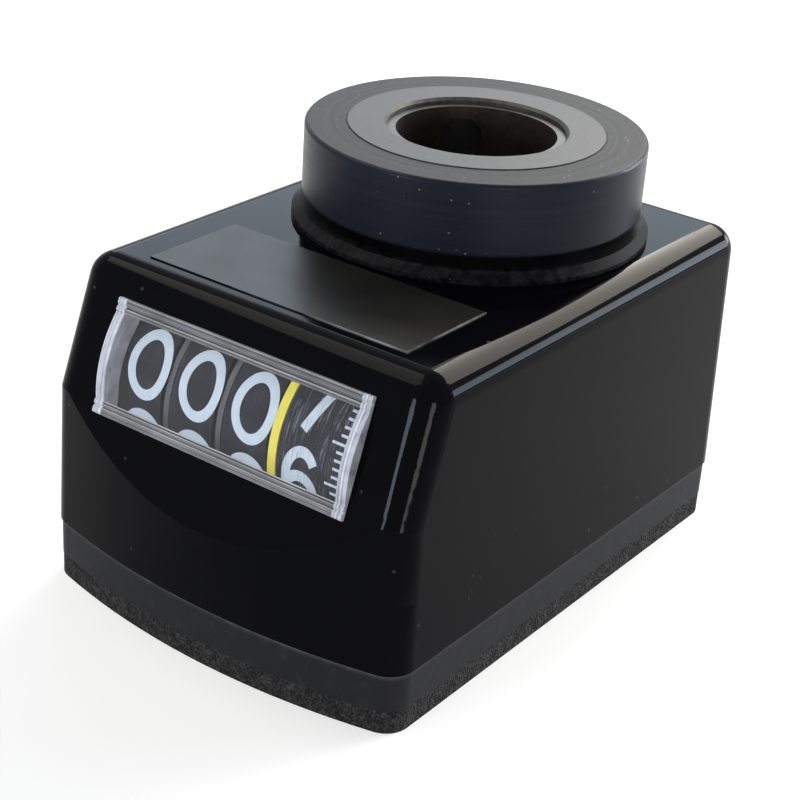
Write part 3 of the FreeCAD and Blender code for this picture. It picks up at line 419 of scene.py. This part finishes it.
def basePlastic():
    look = baseLook
    material, shader, start = newFinish("basePlastic", {"Specular IOR Level": look["specular"]})
    place = objectPlace(start)
    high = axisOf(place, 2).between(look["parting"] - look["dustyBelow"], look["parting"])
    worn = grain(place, *look["worn"])
    topDust = worn.between(*look["wornTop"]) * look["wornTopDust"] + look["topDust"]
    sideDust = worn.between(*look["wornSide"]) * look["wornSideDust"]
    dust = high ** look["dustFall"] * topDust + sideDust
    connect(shader, "Base Color", dust.mix(look["dark"], look["dust"]))
    connect(shader, "Roughness", look["roughness"] + worn * look["wornRough"])
    connect(shader, "Normal", bump(grain(place, *look["spark"]), look["depth"]))
    return material


foamLook = {
    "dark": (0.004, 0.0038, 0.0038),
    "pale": (0.050, 0.047, 0.046),
    "specular": 0.2,
    "roughness": 0.95,
    "cells": 0.28 * mm,
    "cellShare": 0.5,
    "cloud": (0.9 * mm, 4.0),
    "cloudShare": 0.6,
    "paleFrom": (0.42, 0.74),
    "cloudHeight": 0.8,
    "depth": 0.3 * mm,
}


def foamRubber():
    look = foamLook
    material, shader, start = newFinish("foamRubber", {"Roughness": look["roughness"],
                                                       "Specular IOR Level": look["specular"]})
    place = objectPlace(start)
    cells = cellsOf(place, look["cells"], "Distance")
    cloud = grain(place, *look["cloud"])
    mixed = cells * look["cellShare"] + cloud * look["cloudShare"]
    connect(shader, "Base Color", mixed.between(*look["paleFrom"]).mix(look["dark"], look["pale"]))
    connect(shader, "Normal", bump(cells + cloud * look["cloudHeight"], look["depth"]))
    return material


hubLook = {
    "ior": 1.17,
    "side": (0.005, 0.006, 0.009),
    "sidePale": (0.015, 0.018, 0.028),
    "topDark": (0.022, 0.022, 0.023),
    "top": (0.038, 0.038, 0.038),
    "topFrom": (0.06 * mm, 0.02 * mm),    # under its top face, where the top's finish begins
    "seam": 14.5 * mm,                    # radius of the joint with the steel head
    "seamWidth": 0.14 * mm,
    "seamRagged": 0.6 * mm,
    "seamColour": (0.006, 0.006, 0.006),
    "turned": (0.09 * mm, 4.0),
    "broad": (0.8 * mm, 2.0),
    "rub": (0.7 * mm, 5.0),
    "wornFrom": (0.35, 0.8),
    "turnedShare": 0.6,
    "rubShare": 0.5,
    "sideShare": 0.5,
    "flecks": (0.8 * mm, 0.10),
    "fleckShare": 0.5,
    "fleckColour": (0.35, 0.35, 0.33),
    "metallic": 0.1,
    "topMetallic": 0.4,
    "roughness": 0.30,
    "topRough": 0.22,
    "broadRough": 0.10,
    "depth": 0.016 * mm,
}


def hubMetal():
    look = hubLook
    material, shader, start = newFinish("hubMetal", {"IOR": look["ior"]})
    place = objectPlace(start)
    radius = shaftRadius(place)
    height = axisOf(place, 2)
    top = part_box("hub_ring")[1].z
    onTop = height.between(top - look["topFrom"][0], top - look["topFrom"][1])
    turned = lines(radius + height, *look["turned"])
    broad = lines(radius + height, *look["broad"])
    flecks = specks(place, *look["flecks"])
    rub = grain(place, *look["rub"])
    ragged = radius + (rub - 0.5) * look["seamRagged"]
    seam = 1 - ragged.between(look["seam"], look["seam"] + look["seamWidth"])
    worn = (turned * look["turnedShare"] + rub * look["rubShare"]).between(*look["wornFrom"])
    face = worn.mix(look["topDark"], look["top"])
    side = ((turned + broad) * look["sideShare"]).mix(look["side"], look["sidePale"])
    joint = (seam * onTop).mix(onTop.mix(side, face), look["seamColour"])
    connect(shader, "Base Color", (flecks * look["fleckShare"]).mix(joint, look["fleckColour"]))
    connect(shader, "Metallic", onTop * look["topMetallic"] + look["metallic"])
    connect(shader, "Roughness", look["roughness"] + onTop * look["topRough"] + broad * look["broadRough"])
    connect(shader, "Normal", bump(turned + flecks * look["fleckShare"], look["depth"]))
    return material


shaftLook = {
    "dark": (0.022, 0.021, 0.020),
    "pale": (0.090, 0.086, 0.082),
    "metallic": 0.7,
    "ior": 1.2,
    "turned": (0.07 * mm, 4.0),
    "turnedShare": 0.5,
    "rub": (0.8 * mm, 5.0),
    "rubShare": 0.6,
    "paleFrom": (0.3, 0.85),
    "roughness": 0.38,
    "rubRough": 0.2,
    "depth": 0.008 * mm,
}


def shaftSteel():
    look = shaftLook
    material, shader, start = newFinish("shaftSteel", {"Metallic": look["metallic"], "IOR": look["ior"]})
    place = objectPlace(start)
    turned = lines(shaftRadius(place) + axisOf(place, 2), *look["turned"])
    rub = grain(place, *look["rub"])
    mixed = (turned * look["turnedShare"] + rub * look["rubShare"]).between(*look["paleFrom"])
    connect(shader, "Base Color", mixed.mix(look["dark"], look["pale"]))
    connect(shader, "Roughness", look["roughness"] + rub * look["rubRough"])
    connect(shader, "Normal", bump(turned, look["depth"]))
    return material


# plain finishes: darker and paler colour, metallic, roughness, size of the grain and its depth
plainLooks = {
    "sleeveSteel": ((0.012, 0.009, 0.008), (0.055, 0.042, 0.036), 0.6, 0.40, 0.5 * mm, 0.006 * mm),
    "screwSteel": ((0.030, 0.029, 0.029), (0.09, 0.088, 0.088), 0.7, 0.34, 0.2 * mm, 0.004 * mm),
    "rodSteel": ((0.42, 0.42, 0.43), (0.62, 0.62, 0.62), 1.0, 0.26, 0.3 * mm, 0.003 * mm),
    "bushPlastic": ((0.028, 0.028, 0.029), (0.060, 0.060, 0.062), 0.0, 0.45, 0.3 * mm, 0.01 * mm),
    "sealRubber": ((0.012, 0.012, 0.012), (0.026, 0.026, 0.026), 0.0, 0.62, 0.3 * mm, 0.015 * mm),
    "bracketPlastic": ((0.055, 0.056, 0.060), (0.085, 0.086, 0.092), 0.0, 0.42, 0.4 * mm, 0.012 * mm),
    "carrierPlastic": ((0.030, 0.031, 0.034), (0.060, 0.062, 0.067), 0.0, 0.38, 0.3 * mm, 0.01 * mm),
    "markerYellow": ((0.62, 0.52, 0.045), (0.78, 0.68, 0.085), 0.0, 0.40, 0.5 * mm, 0.008 * mm),
    "gearPlastic": ((0.62, 0.60, 0.52), (0.74, 0.72, 0.65), 0.0, 0.42, 0.6 * mm, 0.008 * mm),
}

# what the plain finishes share
plainGrain = {
    "fineDetail": 4.0,
    "fineShare": 0.5,
    "cloudSize": 14,              # in sizes of the grain
    "cloudDetail": 3.0,
    "cloudShare": 0.6,
    "paleFrom": (0.3, 0.8),
    "roughSpread": 0.16,
}


def plainFinish(name):
    dark, pale, metallic, roughness, size, depth = plainLooks[name]
    look = plainGrain
    material, shader, start = newFinish(name, {"Metallic": metallic})
    place = objectPlace(start)
    fine = grain(place, size, look["fineDetail"])
    cloud = grain(place, look["cloudSize"] * size, look["cloudDetail"])
    mixed = (fine * look["fineShare"] + cloud * look["cloudShare"]).between(*look["paleFrom"])
    connect(shader, "Base Color", mixed.mix(dark, pale))
    connect(shader, "Roughness", roughness + (cloud - 0.5) * look["roughSpread"])
    connect(shader, "Normal", bump(fine, depth))
    return material


drumLook = {
    "dark": (0.005, 0.0055, 0.008),
    "pale": (0.014, 0.015, 0.021),
    "scratchColour": (0.22, 0.23, 0.25),
    "specular": 0.12,
    "cloud": (1.5 * mm, 4.0),
    "fineFrom": (6.3 * mm, 6.5 * mm),     # X where the scratched fine drum begins
    "scratch": (0.16 * mm, 2.0, (1.0, 0.05, 0.05)),
    "scratchFrom": (0.56, 0.64),
    "scratchShare": 0.6,
    "patchFrom": (0.4, 0.6),
    "elsewhere": 0.25,                    # share of the scratches on the other drums
    "roughness": 0.34,
    "cloudRough": 0.15,
    "depth": 0.006 * mm,
}


def drumPlastic():
    look = drumLook
    material, shader, start = newFinish("drumPlastic", {"Specular IOR Level": look["specular"]})
    place = objectPlace(start)
    cloud = grain(place, *look["cloud"])
    fine = axisOf(place, 0).between(*look["fineFrom"])
    marks = grain(place, *look["scratch"]).between(*look["scratchFrom"]) * cloud.between(*look["patchFrom"])
    marks = marks * (fine * (1 - look["elsewhere"]) + look["elsewhere"])
    base = cloud.mix(look["dark"], look["pale"])
    connect(shader, "Base Color", (marks * look["scratchShare"]).mix(base, look["scratchColour"]))
    connect(shader, "Roughness", look["roughness"] + cloud * look["cloudRough"])
    connect(shader, "Normal", bump(cloud + marks, look["depth"]))
    return material


inkLook = {
    "dark": (0.46, 0.54, 0.61),
    "pale": (0.58, 0.66, 0.73),
    "wornColour": (0.14, 0.15, 0.17),
    "specular": 0.3,
    "roughness": 0.5,
    "cloud": (0.8 * mm, 3.0),
    "scratch": (0.14 * mm, 2.0, (1.0, 0.05, 0.05)),
    "scratchFrom": (0.56, 0.66),
    "wornShare": 0.7,
    "elsewhere": 0.1,
    "onFine": 0.8,                        # added to that share on the fine drum
}


def inkWhite():
    look = inkLook
    material, shader, start = newFinish("inkWhite", {"Specular IOR Level": look["specular"],
                                                     "Roughness": look["roughness"]})
    place = objectPlace(start)
    fine = axisOf(place, 0).between(*drumLook["fineFrom"])
    rubbed = grain(place, *look["scratch"]).between(*look["scratchFrom"])
    rubbed = rubbed * (fine * look["onFine"] + look["elsewhere"])
    base = grain(place, *look["cloud"]).mix(look["dark"], look["pale"])
    connect(shader, "Base Color", (rubbed * look["wornShare"]).mix(base, look["wornColour"]))
    return material


glassLook = {
    "colour": (0.97, 0.98, 0.99, 1.0),
    "ior": 1.44,
    "gloss": (0.3, 0.3, 0.32, 1.0),       # tints the white reflection down, which would hide the drums
    "haze": (2.5 * mm, 3.0),
    "hazeFrom": (0.55, 0.9),
    "hazeRough": 0.03,
}


def lensClear():
    look = glassLook
    material, shader, start = newFinish("lensClear", {"Base Color": look["colour"],
                                                      "Transmission Weight": 1.0,
                                                      "IOR": look["ior"],
                                                      "Specular Tint": look["gloss"]})
    haze = grain(objectPlace(start), *look["haze"]).between(*look["hazeFrom"])
    connect(shader, "Roughness", haze * look["hazeRough"])
    return material


def slopeDown(place):
    # distance down the slope from its upper edge
    y, z = axisOf(place, 1), axisOf(place, 2)
    turn = math.radians(window["slope"])
    return (window["edge"][0] - y) * math.cos(turn) + (window["edge"][1] - z) * math.sin(turn)


# the rim: its pale and dark bands are painted glow and highlight lines of the clear lens edge
rimLook = {
    "dark": (0.022, 0.023, 0.027),
    "pale": (0.42, 0.43, 0.47),
    "specular": 0.6,
    "streaksAndGlow": (0.16 * mm, 2.0),
    "streaksAndGlowFrom": (0.36, 0.68),
    "patch": (2.2 * mm, 3.0, (0.35, 1.0, 1.0)),
    "patchFrom": (0.3, 0.75),
    "patchShare": 0.7,
    "roughness": 0.12,
    "patchRough": 0.15,
    "depth": 0.02 * mm,
}


def lensRim():
    look = rimLook
    material, shader, start = newFinish("lensRim", {"Specular IOR Level": look["specular"]})
    place = objectPlace(start)
    # painted glow and highlight bands along the rim
    streaksAndGlow = lines(slopeDown(place), *look["streaksAndGlow"]).between(*look["streaksAndGlowFrom"])
    patchy = grain(place, *look["patch"]).between(*look["patchFrom"])
    mixed = streaksAndGlow * (patchy * look["patchShare"] + (1 - look["patchShare"]))
    connect(shader, "Base Color", mixed.mix(look["dark"], look["pale"]))
    connect(shader, "Roughness", look["roughness"] + patchy * look["patchRough"])
    connect(shader, "Normal", bump(streaksAndGlow, look["depth"]))
    return material


frostLook = {
    "dark": (0.16, 0.165, 0.20),
    "pale": (0.72, 0.75, 0.84),
    "streaksAndGlow": (0.22 * mm, 3.0),
    "streaksAndGlowFrom": (0.32, 0.7),
    "drawnShare": 0.6,
    "cloud": (0.9 * mm, 4.0, (1.0, 0.5, 0.5)),
    "cloudFrom": (0.3, 0.72),
    "cloudShare": 0.45,
    "roughness": 0.25,
    "cloudRough": 0.2,
    "depth": 0.03 * mm,
}


def lensFrost():
    look = frostLook
    material, shader, start = newFinish("lensFrost", {})
    place = objectPlace(start)
    streaksAndGlow = lines(axisOf(place, 0), *look["streaksAndGlow"]).between(*look["streaksAndGlowFrom"])
    cloud = grain(place, *look["cloud"]).between(*look["cloudFrom"])
    mixed = streaksAndGlow * look["drawnShare"] + cloud * look["cloudShare"]
    connect(shader, "Base Color", mixed.mix(look["dark"], look["pale"]))
    connect(shader, "Roughness", look["roughness"] + cloud * look["cloudRough"])
    connect(shader, "Normal", bump(streaksAndGlow + cloud, look["depth"]))
    return material


finishOfSlot = {
    "case_plastic": casePlastic,
    "window_clear": lensClear,
    "plate_dark": platePlastic,
    "base_plastic": basePlastic,
    "foam": foamRubber,
    "hub_metal": hubMetal,
    "shaft_steel": shaftSteel,
    "drum_plastic": drumPlastic,
    "sleeve_steel": "sleeveSteel",
    "screw_steel": "screwSteel",
    "rod_steel": "rodSteel",
    "bush_plastic": "bushPlastic",
    "seal_rubber": "sealRubber",
    "bracket_plastic": "bracketPlastic",
    "carrier_plastic": "carrierPlastic",
    "marker_yellow": "markerYellow",
    "gear_plastic": "gearPlastic",
}


def dressNodes():
    finishes = {}
    for slotName, maker in finishOfSlot.items():
        finishes[slotName] = plainFinish(maker) if isinstance(maker, str) else maker()
    for part in frame["record"]["subparts"]:
        for place in nodes[part["node"]].material_slots:
            place.material = finishes[part["material_slot"]]
    return finishes


def newPiece(name, work, materials):
    # an object of the finished bmesh
    mesh = bpy.data.meshes.new(name)
    work.to_mesh(mesh)
    work.free()
    for material in materials:
        mesh.materials.append(material)
    piece = bpy.data.objects.new(name, mesh)
    bpy.context.scene.collection.objects.link(piece)
    return piece


# The window: one clear crowned bar between two frosted ends, with a grooved rim above and below

window = {
    "edge": (-26.092 * mm, 37.377 * mm),   # Y and Z where the slope meets the top
    "slope": 70.8,
    "first": 3.28 * mm,                    # down the slope
    "last": 15.817 * mm,
    "crown": 0.85 * mm,
    "deep": 0.5 * mm,
    "clearHalf": 15.9 * mm,
    "endInside": 15.45 * mm,               # the clear bar runs a little into the ends
    "half": 16.66 * mm,
    "endDeep": 2.3 * mm,
    "endProud": 0.02 * mm,
    "steps": 28,
    "sharp": 50,                           # degrees from which an edge stays sharp
    # the rim's outline in mm: down the slope from its edge, and above the slope
    "rim": ((0.0, 0.30), (0.10, 0.44), (0.22, 0.47), (0.62, 0.47), (0.72, 0.40), (0.80, 0.28),
            (0.90, 0.28), (0.98, 0.40), (1.08, 0.46), (1.36, 0.46), (1.46, 0.40), (1.54, 0.34)),
}


def windowOutline(deep):
    first, last = window["first"], window["last"]
    top = [(first + down * mm, rise * mm) for down, rise in window["rim"]]
    bottom = [(last - down * mm, rise * mm) for down, rise in reversed(window["rim"])]
    start, end, low = top[-1][0], bottom[0][0], top[-1][1]
    crown = []
    for step in range(1, window["steps"]):
        share = 2 * step / window["steps"] - 1
        crown.append((start + (end - start) * step / window["steps"],
                      low + window["crown"] * (1 - share * share)))
    return top + crown + bottom + [(last, -deep), (first, -deep)]


def windowPlace(x, down, rise):
    turn = math.radians(window["slope"])
    return Vector((x, window["edge"][0] - down * math.cos(turn) - rise * math.sin(turn),
                   window["edge"][1] - down * math.sin(turn) + rise * math.cos(turn)))


def windowBar(work, left, right, deep, proud, finish):
    # the outline drawn along X, with its rims in their own finish of painted glow where the bar is clear
    outline = windowOutline(deep)
    rows = [[work.verts.new(windowPlace(x, down, rise + proud)) for down, rise in outline]
            for x in (left, right)]
    count = len(outline)
    rim = len(window["rim"])
    for index in range(count):
        after = (index + 1) % count
        face = work.faces.new((rows[0][index], rows[0][after], rows[1][after], rows[1][index]))
        onRim = index < rim - 1 or count - 2 - rim <= index < count - 2 or index == count - 1
        face.material_index = 1 if finish == 0 and onRim else finish
        face.smooth = index < count - 3
    for row in (rows[0][::-1], rows[1]):
        face = work.faces.new(row)
        face.material_index = finish


def makeWindow(glass):
    work = bmesh.new()
    half, inside, clear = window["half"], window["endInside"], window["clearHalf"]
    windowBar(work, -clear, clear, window["deep"], 0, 0)
    windowBar(work, -half, -inside, window["endDeep"], window["endProud"], 2)
    windowBar(work, inside, half, window["endDeep"], window["endProud"], 2)
    bmesh.ops.recalc_face_normals(work, faces=work.faces)
    piece = newPiece("window_glass", work, (glass, lensRim(), lensFrost()))
    piece.data.set_sharp_from_angle(angle=math.radians(window["sharp"]))
    piece.visible_shadow = piece.visible_diffuse = False       # light reaches the drums through it
    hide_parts("window_lens")
    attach(piece, "housing")
    print("window made")


# Digits: ribbons along centre lines in a cell one wide and one high, wrapped on the drums

digit = {
    "height": 6.75 * mm,
    "width": 5.5 * mm,
    "fineWidth": 4.9 * mm,
    "stroke": 1.02 * mm,
    "proud": 0.02 * mm,
    "sunk": 0.01 * mm,
    "step": 0.28 * mm,
    "arcStep": 9,             # degrees
    "mitre": 0.5,             # least cosine at a corner, so that it does not run out in a spike
    "readAngle": 157.0,       # where the digit shown lies on the drum, from +Y toward +Z
    "fineReading": 6.63,
    "shift": 0.5 * mm,        # the digits stand right of the middle of their drums
    "fineShift": -1.55 * mm,  # the fine digits leave room for the lines on their right
    "count": 10,
}


def arc(x, y, rx, ry, first, last):
    steps = max(4, int(abs(last - first) / digit["arcStep"]))
    turns = [math.radians(first + (last - first) * step / steps) for step in range(steps + 1)]
    return [(x + rx * math.cos(turn), y + ry * math.sin(turn)) for turn in turns]


def digitStrokes(number):
    # each stroke is its points and whether it closes on itself
    six = [(arc(0.02, 0.06, 0.48, 0.44, 38, 180) + [(-0.46, -0.2)], False),
           (arc(0.0, -0.2, 0.47, 0.3, 0, 360)[:-1], True)]
    strokes = {
        0: [(arc(0, 0, 0.5, 0.5, 0, 360)[:-1], True)],
        1: [([(-0.28, 0.26), (0.1, 0.5), (0.1, -0.5)], False)],
        2: [(arc(0, 0.19, 0.46, 0.31, 165, -25) + [(-0.47, -0.5), (0.5, -0.5)], False)],
        3: [(arc(-0.02, 0.25, 0.42, 0.25, 150, -90) + arc(-0.02, -0.25, 0.5, 0.25, 84, -150), False)],
        4: [([(0.22, -0.5), (0.22, 0.5)], False), ([(0.22, 0.5), (-0.5, -0.2), (0.5, -0.2)], False)],
        5: [([(0.42, 0.5), (-0.38, 0.5), (-0.44, 0.02)] + arc(-0.02, -0.18, 0.5, 0.32, 128, -150), False)],
        6: six,
        7: [([(-0.5, 0.5), (0.48, 0.5), (-0.14, -0.5)], False)],
        8: [(arc(0, 0.26, 0.42, 0.24, 0, 360)[:-1], True), (arc(0, -0.23, 0.5, 0.27, 0, 360)[:-1], True)],
        9: [([(-x, -y) for x, y in points], closed) for points, closed in six],
    }
    return strokes[number]


def spaced(points, closed, step):
    # the same way with a point at least every step
    ends = points + points[:1] if closed else points
    result = []
    for start, end in zip(ends, ends[1:]):
        parts = max(1, math.ceil((end - start).length / step))
        result += [start.lerp(end, part / parts) for part in range(parts)]
    return result if closed else result + [points[-1]]


def strokeSolid(points, closed, stroke, bottom, top):
    # a flat ribbon along the points, mitred at its corners
    count = len(points)
    work = bmesh.new()
    rows = []
    for index, point in enumerate(points):
        before = points[index - 1] if closed or index else point
        after = points[(index + 1) % count] if closed or index < count - 1 else point
        one = (point - before).normalized() if before != point else (after - point).normalized()
        two = (after - point).normalized() if after != point else one
        side = Vector((-(one + two).y, (one + two).x)).normalized()
        reach = stroke / 2 / max(digit["mitre"], side.dot(Vector((-one.y, one.x))))
        rows.append([work.verts.new((*(point + side * reach * sign), z))
                     for sign, z in ((1, top), (-1, top), (-1, bottom), (1, bottom))])
    for index in range(count if closed else count - 1):
        first, second = rows[index], rows[(index + 1) % count]
        for corner in range(4):
            work.faces.new((first[corner], second[corner],
                            second[(corner + 1) % 4], first[(corner + 1) % 4]))
    if not closed:
        work.faces.new(rows[0])
        work.faces.new(rows[-1][::-1])
    bmesh.ops.recalc_face_normals(work, faces=work.faces)
    return work


def plainMesh(item):
    # the object's mesh with its modifiers carried out
    graph = bpy.context.evaluated_depsgraph_get()
    mesh = bpy.data.meshes.new_from_object(item.evaluated_get(graph))
    item.modifiers.clear()
    return mesh


def flatDigit(number, width, bottom, top):
    size = Vector((width - digit["stroke"], digit["height"] - digit["stroke"]))
    items = []
    for points, closed in digitStrokes(number):
        way = spaced([Vector((x * size.x, y * size.y)) for x, y in points], closed, digit["step"])
        items.append(newPiece("stroke", strokeSolid(way, closed, digit["stroke"], bottom, top), ()))
    whole = items[0]
    for other in items[1:]:
        union = whole.modifiers.new("union", "BOOLEAN")
        union.operation = "UNION"
        union.solver = "EXACT"
        union.object = other
    mesh = plainMesh(whole)
    for item in items:
        bpy.data.objects.remove(item)
    return mesh


def digitRing(name, body, middle, width, reading, radius, material):
    # all ten digits round one drum, as one mesh
    work = bmesh.new()
    for number in range(digit["count"]):
        start = len(work.verts)
        work.from_mesh(flatDigit(number, width, -digit["sunk"], digit["proud"]))
        work.verts.ensure_lookup_table()
        place = math.radians(digit["readAngle"] - 360 / digit["count"] * (number - reading))
        for vertex in work.verts[start:]:
            turn = place - vertex.co.y / radius
            reach = radius + vertex.co.z
            vertex.co = Vector((middle + vertex.co.x, drumPlace.y + reach * math.cos(turn),
                                drumPlace.z + reach * math.sin(turn)))
    bmesh.ops.recalc_face_normals(work, faces=work.faces)
    piece = newPiece(name, work, [material])
    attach(piece, body)


def drumMiddle(node):
    low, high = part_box(node)
    return (low.x + high.x) / 2, (high.z - low.z) / 2


def makeDigits(material):
    for place in ("hundreds", "tens", "units"):
        middle, radius = drumMiddle("drum_" + place)
        digitRing("digits_" + place, place, middle + digit["shift"], digit["width"], 0, radius, material)
    middle, radius = drumMiddle("fine_drum")
    digitRing("digits_fine", "fine", middle + digit["fineShift"], digit["fineWidth"],
              digit["fineReading"], radius, material)
    print("digits made")


# Lines on the fine drum

graduation = {
    "count": 100,
    "every": 5,               # each such line is long
    "short": 1.45 * mm,
    "long": 2.2 * mm,
    "width": 0.24 * mm,
    "thick": 0.03 * mm,
    "margin": 0.7 * mm,
}


def graduationTree():
    # one bar at each place of a ring round X, long at every so many
    tree = bpy.data.node_groups.new("graduations", "GeometryNodeTree")
    tree.interface.new_socket(name="Geometry", in_out="OUTPUT", socket_type="NodeSocketGeometry")
    kinds = {"Count": "Int", "Every": "Int", "Radius": "Float", "Short": "Float", "Long": "Float",
             "Width": "Float", "Thick": "Float", "Left": "Float", "Turn": "Float", "Ink": "Material"}
    names = {}
    for name, kind in kinds.items():
        socket = tree.interface.new_socket(name=name, in_out="INPUT", socket_type="NodeSocket" + kind)
        names[name] = socket.identifier
    start = Wire(tree)
    given = tree.nodes.new("NodeGroupInput")
    value = {name: Wire(tree, given.outputs[name]) for name in names}
    index = start.node("GeometryNodeInputIndex")
    longer = index.math("MODULO", value["Every"]).math("LESS_THAN", 0.5)
    length = value["Short"] + longer * (value["Long"] - value["Short"])
    turn = value["Turn"] + index * (2 * math.pi) / value["Count"]
    along = value["Left"] + value["Long"] - length / 2
    across = value["Radius"] * turn.math("COSINE")
    upward = value["Radius"] * turn.math("SINE")
    spot = start.node("ShaderNodeCombineXYZ", {}, {0: along, 1: across, 2: upward})
    size = start.node("ShaderNodeCombineXYZ", {}, {0: length, 1: value["Thick"], 2: value["Width"]})
    spin = start.node("ShaderNodeCombineXYZ", {}, {0: turn})
    points = start.node("GeometryNodePoints", {}, {"Count": value["Count"], "Position": spot})
    bar = start.node("GeometryNodeMeshCube", {}, {"Size": (1.0, 1.0, 1.0)}, "Mesh")
    bars = start.node("GeometryNodeInstanceOnPoints", {}, {"Points": points, "Instance": bar,
                                                           "Rotation": spin, "Scale": size})
    solid = start.node("GeometryNodeRealizeInstances", {}, {"Geometry": bars})
    inked = start.node("GeometryNodeSetMaterial", {}, {"Geometry": solid, "Material": value["Ink"]})
    start.node("NodeGroupOutput", {}, {"Geometry": inked}, None)
    return tree, names


def makeGraduations(material):
    low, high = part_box("fine_drum")
    radius = (high.z - low.z) / 2
    piece = newPiece("graduations", bmesh.new(), ())
    modifier = piece.modifiers.new("graduations", "NODES")
    modifier.node_group, names = graduationTree()
    values = {
        "Count": graduation["count"],
        "Every": graduation["every"],
        "Radius": radius,
        "Short": graduation["short"],
        "Long": graduation["long"],
        "Width": graduation["width"],
        "Thick": graduation["thick"],
        "Left": high.x - graduation["margin"] - graduation["long"],
        "Turn": math.radians(digit["readAngle"]),
        "Ink": material,
    }
    for name, value in values.items():
        modifier[names[name]] = value
    piece.data = plainMesh(piece)
    piece.data.transform(Matrix.Translation((0, drumPlace.y, drumPlace.z)))
    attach(piece, "fine")
    print("graduations made")


setCamera()
setWorld()
setLights()
makeFloor()
print("camera, light and floor set")
finishes = dressNodes()
makeWindow(finishes["window_clear"])
ink = inkWhite()
makeDigits(ink)
makeGraduations(ink)
